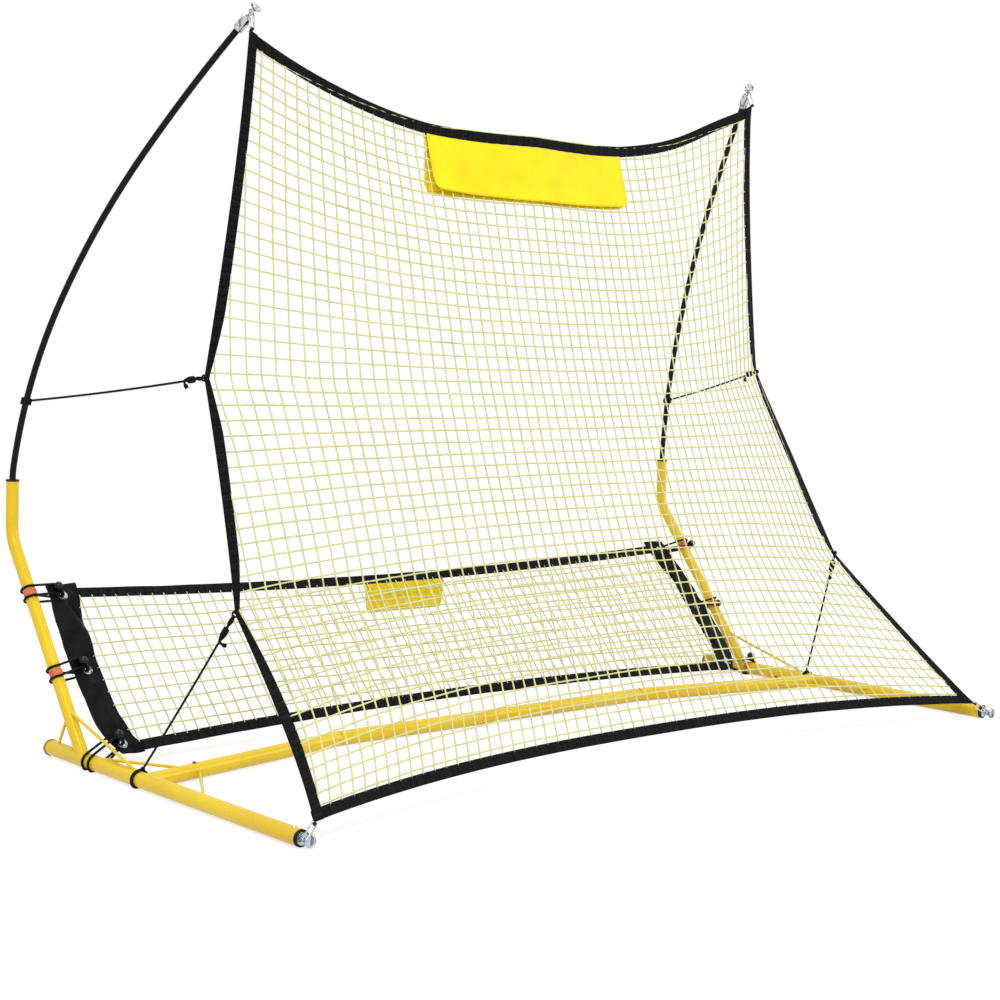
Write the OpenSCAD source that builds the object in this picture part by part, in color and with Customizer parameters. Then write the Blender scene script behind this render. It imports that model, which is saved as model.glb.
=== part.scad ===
// Free-standing ball rebounder: two tubular side frames joined by a cross tube,
// two sprung fibreglass poles, a large rebound net in front and a low catch net behind.
// X runs across the width, Y to the rear, Z up; the origin is on the ground, mid-width, mid-depth.

/* [Side frames] */
// Distance from the middle of the goal to the axis of each base tube
half_span = 940; // [800:5:1100]
// Outer diameter of the base tubes and of the cross tube
base_d = 30; // [28:0.5:34]
// Wall of every steel tube
tube_wall = 1.5; // [1.2:0.1:2]
// Base tube ahead of the lower pull cord
base_front = 505; // [400:5:600]
// Base tube behind the lower pull cord
base_rear = 339; // [320:5:450]
// Diameter of the plastic end caps that the frame stands on
cap_d = 33; // [32:0.5:36]
// Depth of the flat worn under each end cap
foot_flat = 0.5; // [0.3:0.1:1]
// Thickness of the rear cap's rim
cap_rim = 4; // [2:0.5:8]
// Length of the caps' plugs inside the tubes
plug_len = 24; // [12:1:40]

/* [Uprights] */
// Outer diameter of the uprights
upright_d = 25; // [24:0.5:28]
// Foot of the upright, behind the lower pull cord
foot_y = 212; // [180:2:260]
// Bend of the upright, behind the lower pull cord
bend_y = 519; // [440:2:560]
// Height of the bend above the base tube's axis
bend_h = 398; // [340:2:440]
// Length of the upright above its bend
upright_top = 112; // [80:2:160]
// Radius of the bend
bend_r = 80; // [50:5:120]
// Inward lean of the uprights, degrees
splay = 0.6; // [0:0.1:1.5]
// Length of the welded socket that holds the upright
upright_socket = 140; // [110:2:160]
// Length of the upright's reduced end inside its socket
swage_len = 80; // [60:2:90]

/* [Cross tube] */
// Cross tube's axis at the base tubes, ahead of the lower pull cord
cross_y = 19; // [0:1:40]
// Distance from the middle to the joints of the cross tube
cross_joint_x = 432; // [350:2:500]
// Middle length of the cross tube, behind the lower pull cord
cross_mid_y = 88; // [60:2:110]
// Length of the welded socket that holds the cross tube
cross_socket = 158; // [140:2:180]
// Diameter of the welded brace rods
brace_d = 6; // [5:0.5:8]

/* [Snap buttons] */
// Diameter of the snap buttons
button_d = 7.6; // [6:0.2:8]
// Height of the buttons above the tube
button_proud = 3; // [2:0.25:4]
// Distance of the cross tube's buttons from the base tube's axis
cross_button = 119; // [105:1:125]
// Distance of the uprights' buttons from the base tube's axis
upright_button = 87; // [76:1:100]
// Width of the leaf spring behind each button
leaf_w = 8; // [7:0.5:9]
// Thickness of the leaf spring
leaf_t = 0.8; // [0.5:0.1:1]
// Length of the leaf spring
leaf_len = 34; // [28:1:40]

/* [Poles] */
// Diameter of the fibreglass poles
pole_d = 13; // [9:0.5:13.5]
// Length of the pole inside the upright
pole_in = 70; // [40:5:100]
// Swing of the plane in which each pole bows, inward from straight ahead, degrees
pole_turn = 26; // [15:1:35]
// Diameter of the steel tip sleeves
sleeve_d = 20; // [16:0.5:22]
// Depth of the pole in its tip sleeve
sleeve_bore = 27; // [22:1:40]
// Solid head of the tip sleeve
sleeve_head = 9; // [9:0.5:14]
// Diameter of the round knobs
knob_d = 22; // [18:0.5:26]
// Diameter of the knobs' necks
neck_d = 7; // [6:0.25:7.5]
// Length of the necks at the pole tips
tip_neck = 12; // [12:0.5:18]
// Length of the necks at the base tubes
front_neck = 14; // [12:0.5:18]

/* [Corner rings] */
// Diameter of the wire of the corner rings
ring_wire = 3; // [2:0.25:3.5]
// Width of the corner rings, between wire centres
ring_w = 11.4; // [11:0.2:14]
// Bend radius at the rings' corners
ring_r = 3; // [2:0.25:4]

/* [Rebound net] */
// Columns of the rebound net's mesh
net_cols = 18; // [10:2:20]
// Rows of the rebound net's mesh
net_rows = 14; // [8:1:15]
// Width of the net's strings
string_w = 3; // [1.5:0.5:5]
// Thickness of the net's strings
string_t = 1.8; // [1:0.2:2.4]
// Width of the folded binding round the nets
bind_w = 24; // [16:1:32]
// Thickness of the folded binding
bind_t = 3; // [2.4:0.2:4]
// Width of the plain yellow panels
panel_w = 548; // [300:4:600]
// Height of the plain yellow panels
panel_h = 100; // [60:2:140]

/* [Catch net] */
// Height of the catch net's top edge
rear_top_z = 312; // [280:2:340]
// Top edge of the catch net, behind the lower pull cord
rear_top_y = 462; // [440:2:480]
// Slope of the catch net, degrees from level
rear_slope = 46.6; // [44:0.2:50]
// Depth of the catch net from its top edge to the bottom corners
rear_depth = 396; // [370:2:410]
// Columns of the catch net's mesh
rear_cols = 20; // [8:2:24]
// Rows of the catch net's mesh
rear_rows = 5; // [3:1:6]
// Thickness of the end panels
sheet_t = 2; // [1:0.25:3]
// Outer diameter of the grommets
grommet_d = 21; // [18:0.5:24]
// Hole of the grommets
grommet_hole = 11; // [10:0.5:12]

/* [Cords] */
// Diameter of the elastic ball cords
bungee_d = 5; // [3:0.25:5.5]
// Diameter of the balls
ball_d = 19; // [16:0.5:24]
// Spacing of the two turns of a ball cord round its tube
bungee_pitch = 22; // [16:1:28]
// Diameter of the upper pull cords
upper_cord_d = 4.5; // [3:0.5:6]
// Diameter of the lower pull cords
lower_cord_d = 3; // [2:0.5:4]
// Width of the rubber bands under the ball cords
band_w = 12; // [8:1:14]

/* [Hidden] */
$fn = 48;

YELLOW = "gold";
BLACK = "#202020";
STEEL = "silver";
STRING = "#e6ec8c";

// clearances
fit = 0.1;        // between a tube and what slides in it, on the radius
weld_gap = 0.1;   // between a coped end and the tube it is welded to
seat = 0.3;       // between a soft piece or a ring and what carries it
eps = 0.5;        // overshoot of cutting bodies

// levels and depths
axis_z = cap_d / 2 - foot_flat;
collar_t = 3;
collar_d = base_d;
flange_t = 3;
flange_d = 22;
front_head = 10;
bush_t = 4;
bush_d = upright_d + 2;
front_reach = base_front + collar_t + flange_t + front_neck + front_head;
rear_reach = bend_y + bush_d / 2;
shift_y = (front_reach - rear_reach) / 2;

// ---------------------------------------------------------------- helpers

function unit(v) = v / norm(v);
function lerp(a, b, t) = a + (b - a) * t;
function bez(a, m, b, t) = (1 - t) * (1 - t) * a + 2 * t * (1 - t) * m + t * t * b;
function polar(v) = acos(v[2] / norm(v));
function azimuth(v) = norm([v[0], v[1]]) < 1e-9 ? 0 : atan2(v[1], v[0]);
function axis_x(v) = [cos(polar(v)) * cos(azimuth(v)), cos(polar(v)) * sin(azimuth(v)), -sin(polar(v))];
function axis_y(v) = [-sin(azimuth(v)), cos(azimuth(v)), 0];
function sum(v, i = 0) = i < len(v) ? v[i] + sum(v, i + 1) : 0;

// a frame at p whose +Z runs along v and whose +X turns towards x
module aim(p, v, x = [0, 0, 0]) {
    roll = norm(x) < 1e-9 ? 0 : atan2(x * axis_y(v), x * axis_x(v));
    translate(p) rotate([0, polar(v), azimuth(v)]) rotate([0, 0, roll]) children();
}

module rod(p, q, d) {
    aim(p, q - p) cylinder(d = d, h = norm(q - p));
}

// tube of outer diameter d from the origin up
module tube(d, len, wall = tube_wall) {
    difference() {
        cylinder(d = d, h = len);
        translate([0, 0, -eps]) cylinder(d = d - 2 * wall, h = len + 2 * eps);
    }
}

// round arc that leaves the origin along +Z and turns towards +X
module arc(r, a, d, bore = 0) {
    translate([r, 0, 0]) rotate([90, 0, 0]) rotate([0, 0, 180 - a])
        rotate_extrude(angle = a, $fn = 96) translate([r, 0]) difference() {
            circle(d = d);
            if (bore > 0) circle(d = bore);
        }
}

module in_place() {
    translate([0, shift_y, 0]) children();
}

// children are drawn for the right side; side -1 mirrors them to the left
module side(s) {
    if (s > 0) in_place() children();
    else mirror([1, 0, 0]) in_place() children();
}

module pair() {
    side(1) children();
    side(-1) children();
}

// ---------------------------------------------------------------- side frames

base_bore = base_d - 2 * tube_wall;
upright_bore = upright_d - 2 * tube_wall;
base_len = base_front + base_rear;
rivet_y = -base_front + 18;
rivet_d = 5;

module base_axis(y = 0) {
    translate([half_span, y, axis_z]) rotate([-90, 0, 0]) children();
}

module base_solid(extra = 0) {
    base_axis(-base_front) cylinder(d = base_d + extra, h = base_len);
}

module rivet_hole() {
    translate([half_span, rivet_y, axis_z]) cylinder(d = rivet_d, h = base_d);
}

module base_tube(s) color(YELLOW) side(s) difference() {
    base_axis(-base_front) tube(base_d, base_len);
    rivet_hole();
}

// upright: frame at the foot, +Z up, leaning inwards by the splay
lean = atan2(bend_y - foot_y, bend_h);
upright_run = norm([bend_y - foot_y, bend_h]);

module foot_frame() {
    translate([half_span, foot_y, axis_z]) rotate([0, -splay, 0]) children();
}

// +Z along the lower, leaning length of the upright, +X of this frame forwards
module lean_frame() {
    foot_frame() rotate([-lean, 0, 0]) rotate([0, 0, -90]) children();
}

module button_hole(dist, d) {
    translate([0, 0, dist]) rotate([0, 90, 0]) cylinder(d = d, h = base_d);
}

module upright_socket_piece(s) color(YELLOW) side(s) difference() {
    lean_frame() difference() {
        tube(upright_d, upright_socket);
        rotate([0, 0, -90]) button_hole(upright_button, button_d + 4 * fit);
    }
    base_solid(2 * weld_gap);
}

// direction of the outer lengths of the cross tube, from the base tube inwards
cross_from = [half_span, -cross_y, axis_z];
cross_joint = [cross_joint_x, cross_mid_y, axis_z];
cross_dir = unit(cross_joint - cross_from);
cross_run = norm(cross_joint - cross_from);

module cross_frame(dist = 0) {
    aim(cross_from + dist * cross_dir, cross_dir, [0, 0, 1]) children();
}

module cross_socket_piece(s) color(YELLOW) side(s) difference() {
    cross_frame() difference() {
        tube(base_d, cross_socket);
        button_hole(cross_button, button_d + 4 * fit);
    }
    base_solid(2 * weld_gap);
}

function on_upright(dist) = [
    half_span - dist * cos(lean) * sin(splay),
    foot_y + dist * sin(lean),
    axis_z + dist * cos(lean) * cos(splay)
];

// brace ends, measured from the tubes that they are welded to
upright_brace_at = 108;
rear_brace_at = 100;
front_brace_y = 16;
rear_brace_y = 318;
cross_brace_at = 132;
cross_brace_front = 215;
cross_brace_rear = 178;
brace_drop = 8;

module braces(s) color(YELLOW) side(s) difference() {
    union() {
        rod(on_upright(upright_brace_at), [half_span, front_brace_y, axis_z + base_d / 2 - brace_d / 3], brace_d);
        rod(on_upright(rear_brace_at), [half_span, rear_brace_y, axis_z], brace_d);
        rod(cross_from + cross_brace_at * cross_dir, [half_span, -cross_brace_front, axis_z + brace_drop], brace_d);
        rod(cross_from + cross_brace_at * cross_dir, [half_span, cross_brace_rear, axis_z + brace_drop], brace_d);
    }
    base_solid(2 * weld_gap);
    lean_frame() cylinder(d = upright_d + 2 * weld_gap, h = upright_socket);
    cross_frame() cylinder(d = base_d + 2 * weld_gap, h = cross_socket);
}

// the flat that each end cap stands on
module worn_flat() {
    difference() {
        children();
        translate([half_span - cap_d, -2 * base_front, -cap_d]) cube([2 * cap_d, 4 * base_front, cap_d]);
    }
}

module rear_caps() color("dimgray") pair() worn_flat() base_axis(base_rear) {
    cylinder(d = cap_d, h = cap_rim);
    translate([0, 0, -plug_len]) cylinder(d = base_bore - 2 * fit, h = plug_len);
}

knob_stud_d = 10;

module front_collars() color(BLACK) pair() worn_flat() difference() {
    base_axis(-base_front) {
        translate([0, 0, -collar_t]) cylinder(d = collar_d, h = collar_t);
        cylinder(d = base_bore - 2 * fit, h = plug_len);
    }
    base_axis(-base_front - collar_t - eps) cylinder(d = knob_stud_d + 2 * fit, h = plug_len + collar_t + 2 * eps);
    rivet_hole();
}

// turned knob: stud, flange, neck and rounded head, seated on the plane z = 0
module turned_knob(stud_d, stud_len, flange, flange_h, neck, head) {
    edge = 2.5;
    translate([0, 0, -stud_len]) cylinder(d = stud_d, h = stud_len);
    if (flange_h > 0) cylinder(d = flange, h = flange_h);
    translate([0, 0, flange_h]) cylinder(d = neck_d, h = neck);
    translate([0, 0, flange_h + neck]) rotate_extrude() {
        polygon([
            [0, 0], [neck_d / 2, 0], [knob_d / 2 - 1, head / 2 - 1], [knob_d / 2, head / 2],
            [knob_d / 2, head - edge], [knob_d / 2 - edge, head], [0, head]
        ]);
        intersection() {
            translate([knob_d / 2 - edge, head - edge]) circle(r = edge);
            translate([knob_d / 2 - edge, head - edge]) square(edge);
        }
    }
}

module front_knobs() color(STEEL) pair() base_axis(-base_front - collar_t) rotate([180, 0, 0])
    turned_knob(knob_stud_d, plug_len - 6, flange_d, flange_t, front_neck, front_head);

module front_rivets() color("#b58a10") pair() translate([half_span, rivet_y, axis_z]) {
    translate([0, 0, knob_stud_d / 2 + 1]) cylinder(d = rivet_d - 2 * fit, h = base_d / 2 - knob_stud_d / 2);
    translate([0, 0, base_d / 2]) intersection() {
        cylinder(d = rivet_d + 3, h = 1.2);
        translate([0, 0, -6]) sphere(r = 7.2);
    }
}

// ---------------------------------------------------------------- uprights and cross tube

swage_from = upright_socket - swage_len;
lap = 0.5;

module upright(s) color(YELLOW) side(s) {
    tangent = bend_r * tan(lean / 2);
    lean_frame() {
        translate([0, 0, swage_from]) difference() {
            cylinder(d = upright_bore - 2 * fit, h = swage_len);
            translate([0, 0, -eps]) cylinder(d = upright_bore - 2 * fit - 2 * tube_wall, h = swage_len + 2 * eps);
            rotate([0, 0, -90]) button_hole(upright_button - swage_from, button_d + 4 * fit);
        }
        translate([0, 0, upright_socket]) difference() {
            cylinder(d = upright_d, h = upright_run - tangent - upright_socket + lap);
            translate([0, 0, -eps]) cylinder(
                d = upright_bore - 2 * fit - 2 * tube_wall, h = eps + tube_wall);
            translate([0, 0, tube_wall]) cylinder(d = upright_bore, h = upright_run);
        }
        translate([0, 0, upright_run - tangent]) arc(bend_r, lean, upright_d - 2 * fit, upright_bore + 2 * fit);
    }
    foot_frame() translate([0, bend_y - foot_y, bend_h + tangent - lap])
        tube(upright_d, upright_top - tangent + lap);
}

cross_bore = base_bore;
cross_swage = 90;
joint_spigot = 60;

module swaged_tube(d, len, reduced, hole_at = 0) {
    inner = d - 2 * tube_wall - 2 * fit;
    difference() {
        union() {
            cylinder(d = d, h = len);
            translate([0, 0, -reduced]) cylinder(d = inner, h = reduced);
        }
        translate([0, 0, -reduced - eps]) cylinder(d = inner - 2 * tube_wall, h = reduced + 2 * eps);
        translate([0, 0, tube_wall]) cylinder(d = d - 2 * tube_wall, h = len);
        if (hole_at > 0) button_hole(-hole_at, button_d + 4 * fit);
    }
}

module cross_tube(s) color(YELLOW) side(s) cross_frame(cross_socket)
    swaged_tube(base_d, cross_run - cross_socket - joint_play, cross_swage, cross_socket - cross_button);

// the outer lengths end square to their own axis, so the middle length stops short of them
cross_bow = asin(abs(cross_dir[1]));
joint_play = base_d / 2 * tan(cross_bow / 2) + 0.2;

module cross_tube_middle() color(YELLOW) in_place() {
    len = 2 * (cross_joint_x - joint_play);
    translate([-len / 2, cross_mid_y, axis_z]) rotate([0, 90, 0]) tube(base_d, len);
    for (s = [-1, 1]) translate([s * (len / 2 - joint_spigot / 2), cross_mid_y, axis_z]) difference() {
        rotate([0, 90, 0]) cylinder(d = base_bore - 2 * fit, h = joint_spigot, center = true);
        rotate([0, 90, 0]) cylinder(d = base_bore - 2 * fit - 2 * tube_wall, h = 2 * joint_spigot, center = true);
    }
}

// ---------------------------------------------------------------- snap buttons

leaf_play = 1.3;

// drawn in a tube whose axis is +Z, the button leaving along +X at the origin
module snap_button(d) {
    bore = d - 4 * tube_wall - 2 * fit;
    leaf_x = bore / 2 - leaf_t - leaf_play;
    edge = 1.6;
    stem = d / 2 + button_proud - leaf_x - leaf_t / 2;
    translate([leaf_x + leaf_t / 2, 0, 0]) rotate([0, 90, 0]) rotate_extrude() {
        square([button_d / 2, stem - edge]);
        square([button_d / 2 - edge, stem]);
        translate([button_d / 2 - edge, stem - edge]) intersection() {
            circle(r = edge);
            square(edge);
        }
    }
    translate([leaf_x, -leaf_w / 2, -leaf_len + button_d]) cube([leaf_t, leaf_w, leaf_len]);
}

// the leaf's fixed leg and bend, on the wall opposite the button
module button_spring(d) {
    bore = d - 4 * tube_wall - 2 * fit;
    leaf_x = bore / 2 - leaf_t - leaf_play;
    low_x = -sqrt(pow(bore / 2 - fit, 2) - pow(leaf_w / 2, 2));
    r = (leaf_x + leaf_t - low_x) / 2;
    end_z = -leaf_len + button_d - seat;
    translate([low_x, -leaf_w / 2, end_z]) cube([leaf_t, leaf_w, leaf_len]);
    translate([low_x + r, leaf_w / 2, end_z]) rotate([90, 0, 0]) difference() {
        cylinder(r = r, h = leaf_w);
        translate([0, 0, -eps]) cylinder(r = r - leaf_t, h = leaf_w + 2 * eps);
        translate([-2 * r, 0, -eps]) cube([4 * r, 2 * r, leaf_w + 2 * eps]);
    }
}

module cross_button_frame() {
    cross_frame(cross_button) children();
}

module upright_button_frame() {
    lean_frame() rotate([0, 0, -90]) translate([0, 0, upright_button]) children();
}

module cross_button_piece(s) color("dimgray") side(s) cross_button_frame() snap_button(base_d);
module upright_button_piece(s) color("dimgray") side(s) upright_button_frame() snap_button(upright_d);

module button_springs() color(STEEL) pair() {
    cross_button_frame() button_spring(base_d);
    upright_button_frame() button_spring(upright_d);
}

// ---------------------------------------------------------------- poles

// bow of the pole: radius and angle of each stretch, from the upright to the tip
pole_radii = [170, 1090, 1670, 3300];
pole_angles = [8.9, 18.9, 11.4, 5.3];
pole_step = 0.1;
tip_pole_d = pole_d - (len(pole_radii) + 1) * pole_step;
pole_lean = [for (i = [0:len(pole_angles)]) sum([for (j = [0:1:i - 1]) pole_angles[j]])];

// foot of the bow, on top of the bush
module pole_foot() {
    foot_frame() translate([0, bend_y - foot_y, bend_h + upright_top]) children();
}

module along_pole(i = 0, last = len(pole_radii)) {
    if (i < last) {
        r = pole_radii[i];
        a = pole_angles[i];
        translate([r * (1 - cos(a)), 0, r * sin(a)]) rotate([0, a, 0]) along_pole(i + 1, last) children();
    } else children();
}

module pole_plane() {
    pole_foot() translate([0, 0, bush_t]) rotate([0, 0, -90 - pole_turn]) children();
}

// position in the side frame of a point of the bow, at lean a within stretch i
function bow(i, a) = i < 0 ? [0, 0] : let(r = pole_radii[i], from = pole_lean[i])
    bow(i - 1, i > 0 ? pole_lean[i] : 0) + r * [cos(from) - cos(a), sin(a) - sin(from)];
function spread(v) = [-v[0] * sin(pole_turn), bend_y - foot_y - v[0] * cos(pole_turn), v[1] + bend_h + upright_top + bush_t];
function splayed(p) = [
    half_span + p[0] * cos(splay) - p[2] * sin(splay), foot_y + p[1], axis_z + p[0] * sin(splay) + p[2] * cos(splay)
];
function bow_point(i, a) = splayed(spread(bow(i, a)));
function bow_dir(a) = let(v = [-sin(a) * sin(pole_turn), -sin(a) * cos(pole_turn), cos(a)])
    [v[0] * cos(splay) - v[2] * sin(splay), v[1], v[0] * sin(splay) + v[2] * cos(splay)];

tip_lean = pole_lean[len(pole_radii)];
bow_end = bow_point(len(pole_radii) - 1, tip_lean);
tip_dir = bow_dir(tip_lean);

// the pole tapers in small steps, each stretch lapping into the one before it
module pole(s) color(BLACK) side(s) {
    pole_foot() translate([0, 0, -pole_in]) cylinder(d = pole_d, h = pole_in + bush_t);
    pole_plane() {
        for (i = [0:len(pole_radii) - 1]) along_pole(0, i) {
            over = asin(lap / pole_radii[i]);
            translate([pole_radii[i] * (1 - cos(over)), 0, -pole_radii[i] * sin(over)]) rotate([0, -over, 0])
                arc(pole_radii[i], pole_angles[i] + over, pole_d - (i + 1) * pole_step);
        }
        along_pole() translate([0, 0, -lap]) cylinder(d = tip_pole_d, h = sleeve_bore + lap);
    }
}

module pole_bushes() color(BLACK) pair() pole_foot() difference() {
    union() {
        cylinder(d = bush_d, h = bush_t);
        translate([0, 0, -pole_in / 2]) cylinder(d = upright_bore - 2 * fit, h = pole_in / 2);
    }
    translate([0, 0, -pole_in]) cylinder(d = pole_d + 2 * fit, h = pole_in + 2 * bush_t);
}

tip_stud_d = 6;
tip_stud = 8;
sleeve_chamfer = sleeve_head - 2;

module tip_frame() {
    pole_plane() along_pole() children();
}

module tip_sleeves() color(STEEL) pair() tip_frame() difference() {
    union() {
        cylinder(d = sleeve_d, h = sleeve_bore + sleeve_head - sleeve_chamfer);
        translate([0, 0, sleeve_bore + sleeve_head - sleeve_chamfer])
            cylinder(d1 = sleeve_d, d2 = neck_d + 2, h = sleeve_chamfer);
    }
    translate([0, 0, -eps]) cylinder(d = tip_pole_d + 2 * fit, h = sleeve_bore + eps);
    translate([0, 0, sleeve_bore + sleeve_head - tip_stud - 1]) cylinder(d = tip_stud_d + 2 * fit, h = tip_stud + 2);
}

tip_head = 11;

module tip_knobs() color(STEEL) pair() tip_frame() translate([0, 0, sleeve_bore + sleeve_head])
    turned_knob(tip_stud_d, tip_stud, 0, 0, tip_neck, tip_head);

// ---------------------------------------------------------------- rebound net

// the necks that hold the net's corners
tip_neck_at = bow_end + (sleeve_bore + sleeve_head + tip_neck - ring_wire) * tip_dir;
front_neck_at = [half_span, -base_front - collar_t - flange_t - 0.6 * front_neck, axis_z];
// the net's corners, each measured from its neck
top_corner = tip_neck_at + [7.2, -9.7, -37.6];
low_corner = front_neck_at + [-30, 15.4, 22];
// points between the corners: share of the way down, then how far in and back from the straight line
SIDE_PULL = [[0.165, -26, 102], [0.47, -25, 277], [0.633, -29, 243], [0.779, -27, 232], [0.929, -26, 64]];
// right-hand side edge of the net, from the top corner down: three stretches, each from
// one of these points to the one after the next, drawn towards the point between
SIDE = [
    top_corner,
    for (p = SIDE_PULL) lerp(top_corner, low_corner, p[0]) + [p[1], p[2], 0],
    low_corner
];
SIDE_AT = [0, round(0.41 * net_rows) / net_rows, round(0.71 * net_rows) / net_rows, 1];
// the middle of the net, back and up: its top from the top corners, the point that it is drawn
// towards from half way between the corners, and its foot from the low corners
mid_top = [-20, -134];
mid_pull = [148, -60];
mid_foot = [108, 17];
MIDDLE = [
    [0, top_corner[1] + mid_top[0], top_corner[2] + mid_top[1]],
    [0, (top_corner[1] + low_corner[1]) / 2 + mid_pull[0], (top_corner[2] + low_corner[2]) / 2 + mid_pull[1]],
    [0, low_corner[1] + mid_foot[0], low_corner[2] + mid_foot[1]]
];
// how late the net rises from its middle to its side edges, at the top and at the bottom
net_hold = [2.7, 2.4];

function stretch(v) = v < SIDE_AT[1] ? 0 : v < SIDE_AT[2] ? 1 : 2;
function side_edge(v) = let(k = stretch(v), t = (v - SIDE_AT[k]) / (SIDE_AT[k + 1] - SIDE_AT[k]))
    bez(SIDE[2 * k], SIDE[2 * k + 1], SIDE[2 * k + 2], t);
function middle(v) = bez(MIDDLE[0], MIDDLE[1], MIDDLE[2], v);
function net_width(v) = side_edge(v)[0];

// a point of the net: u runs from -1 at the left edge to 1 at the right, v from 0 at the top to 1
function net_point(u, v) = let(e = side_edge(v), m = middle(v), w = pow(abs(u), lerp(net_hold[0], net_hold[1], v)))
    [u * e[0], lerp(m[1], e[1], w), lerp(m[2], e[2], w)];
function net_normal(u, v) = let(
        h = 0.02, a = net_point(u, max(0, v - h)), b = net_point(u, min(1, v + h)))
    unit(cross([1, 0, 0], b - a));
function off_net(u, v, o) = net_point(u, v) + o * net_normal(u, v);

// how fast the middle of the net runs down at its top edge
mid_speed = 2 * norm(MIDDLE[1] - MIDDLE[0]);
bind_u = bind_w / ((top_corner[0] + low_corner[0]) / 2);
bind_v = bind_w / mid_speed;

// closed slab: rows of points, each row with the same count; front and back sheets
function slab_faces(rows, cols) = let(n = rows * cols) concat(
    [for (i = [0:rows - 2], j = [0:cols - 2]) [i * cols + j, i * cols + j + 1, (i + 1) * cols + j]],
    [for (i = [0:rows - 2], j = [0:cols - 2]) [i * cols + j + 1, (i + 1) * cols + j + 1, (i + 1) * cols + j]],
    [for (i = [0:rows - 2], j = [0:cols - 2]) [n + i * cols + j, n + (i + 1) * cols + j, n + i * cols + j + 1]],
    [for (i = [0:rows - 2], j = [0:cols - 2]) [n + i * cols + j + 1, n + (i + 1) * cols + j, n + (i + 1) * cols + j + 1]],
    [for (j = [0:cols - 2]) [j, n + j, j + 1]],
    [for (j = [0:cols - 2]) [j + 1, n + j, n + j + 1]],
    [for (j = [0:cols - 2]) let(k = (rows - 1) * cols + j) [k, k + 1, n + k]],
    [for (j = [0:cols - 2]) let(k = (rows - 1) * cols + j) [k + 1, n + k + 1, n + k]],
    [for (i = [0:rows - 2]) [i * cols, (i + 1) * cols, n + i * cols]],
    [for (i = [0:rows - 2]) [(i + 1) * cols, n + (i + 1) * cols, n + i * cols]],
    [for (i = [0:rows - 2]) let(k = i * cols + cols - 1) [k, n + k, k + cols]],
    [for (i = [0:rows - 2]) let(k = i * cols + cols - 1) [k + cols, n + k, n + k + cols]]
);

// front and back are lists of rows of points
module slab(front, back) {
    rows = len(front);
    cols = len(front[0]);
    polyhedron(
        concat([for (r = front, p = r) p], [for (r = back, p = r) p]), slab_faces(rows, cols));
}

// the strings' edges across (-1 to 1) and down (0 to 1); the bindings bend at the same places
string_u = string_w / 2 / net_width(0.5);
string_v = string_w / 2 / mid_speed;
ACROSS = [for (i = [0:net_cols]) let(a = -1 + 2 * i / net_cols) each [max(-1, a - string_u), min(1, a + string_u)]];
DOWN = [for (j = [0:net_rows]) let(b = j / net_rows) each [max(0, b - string_v), min(1, b + string_v)]];

// binding along the top (v0 = 0) or bottom (v0 = 1) edge, mitred to the side bindings
module binding_across(v0, v1) {
    mitre = seat / top_corner[0];
    slab(
        [for (w = [0, 1]) [for (a = ACROSS) off_net(a * (1 - mitre - w * bind_u), lerp(v0, v1, w), bind_t / 2)]],
        [for (w = [0, 1]) [for (a = ACROSS) off_net(a * (1 - mitre - w * bind_u), lerp(v0, v1, w), -bind_t / 2)]]);
}

// binding down the right side edge
module binding_down() {
    function at(b, w) = lerp(b, lerp(bind_v, 1 - bind_v, b), w);
    slab(
        [for (b = DOWN) [for (w = [1, 0]) off_net(1 - w * bind_u, at(b, w), bind_t / 2)]],
        [for (b = DOWN) [for (w = [1, 0]) off_net(1 - w * bind_u, at(b, w), -bind_t / 2)]]);
}

module net_binding_top() color(BLACK) in_place() binding_across(0, bind_v);
module net_binding_bottom() color(BLACK) in_place() mirror([1, 0, 0]) binding_across(1, 1 - bind_v);
module net_binding(s) color(BLACK) side(s) binding_down();

// the mesh: a grid of square openings between strings
mesh_u = 1 - bind_u * (1 + 1.5 * seat / bind_w);
mesh_v0 = bind_v * (1 + 1.5 * seat / bind_w);
function mesh_at(a, b, o) = off_net(a * mesh_u, lerp(mesh_v0, 1 - mesh_v0, b), o);

module mesh() {
    cols = len(ACROSS);
    rows = len(DOWN);
    n = rows * cols;
    pts = concat(
        [for (b = DOWN, a = ACROSS) mesh_at(a, b, string_t / 2)],
        [for (b = DOWN, a = ACROSS) mesh_at(a, b, -string_t / 2)]);
    // cells with both indices odd are the openings
    polyhedron(pts, concat(
        [for (i = [0:rows - 2], j = [0:cols - 2]) if (i % 2 == 0 || j % 2 == 0) let(k = i * cols + j)
            each [[k, k + 1, k + cols], [k + 1, k + cols + 1, k + cols],
                [n + k, n + k + cols, n + k + 1], [n + k + 1, n + k + cols, n + k + cols + 1]]],
        [for (i = [0:rows - 2], j = [0:cols - 2]) if (i % 2 == 1 && j % 2 == 1) let(k = i * cols + j)
            each [
                [k, k + 1, n + k], [k + 1, n + k + 1, n + k],
                [k + cols, n + k + cols, k + cols + 1], [k + cols + 1, n + k + cols, n + k + cols + 1],
                [k, n + k, k + cols], [k + cols, n + k, n + k + cols],
                [k + 1, k + cols + 1, n + k + 1], [k + cols + 1, n + k + cols + 1, n + k + 1]]],
        [for (j = [0:cols - 2]) each [[j, n + j, j + 1], [j + 1, n + j, n + j + 1]]],
        [for (j = [0:cols - 2]) let(k = (rows - 1) * cols + j) each [[k, k + 1, n + k], [k + 1, n + k + 1, n + k]]],
        [for (i = [0:rows - 2]) let(k = i * cols) each [[k, k + cols, n + k], [k + cols, n + k + cols, n + k]]],
        [for (i = [0:rows - 2]) let(k = i * cols + cols - 1) each [[k, n + k, k + cols], [k + cols, n + k, n + k + cols]]]
    ));
}

module rebound_net() color(STRING) in_place() mesh();

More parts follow.
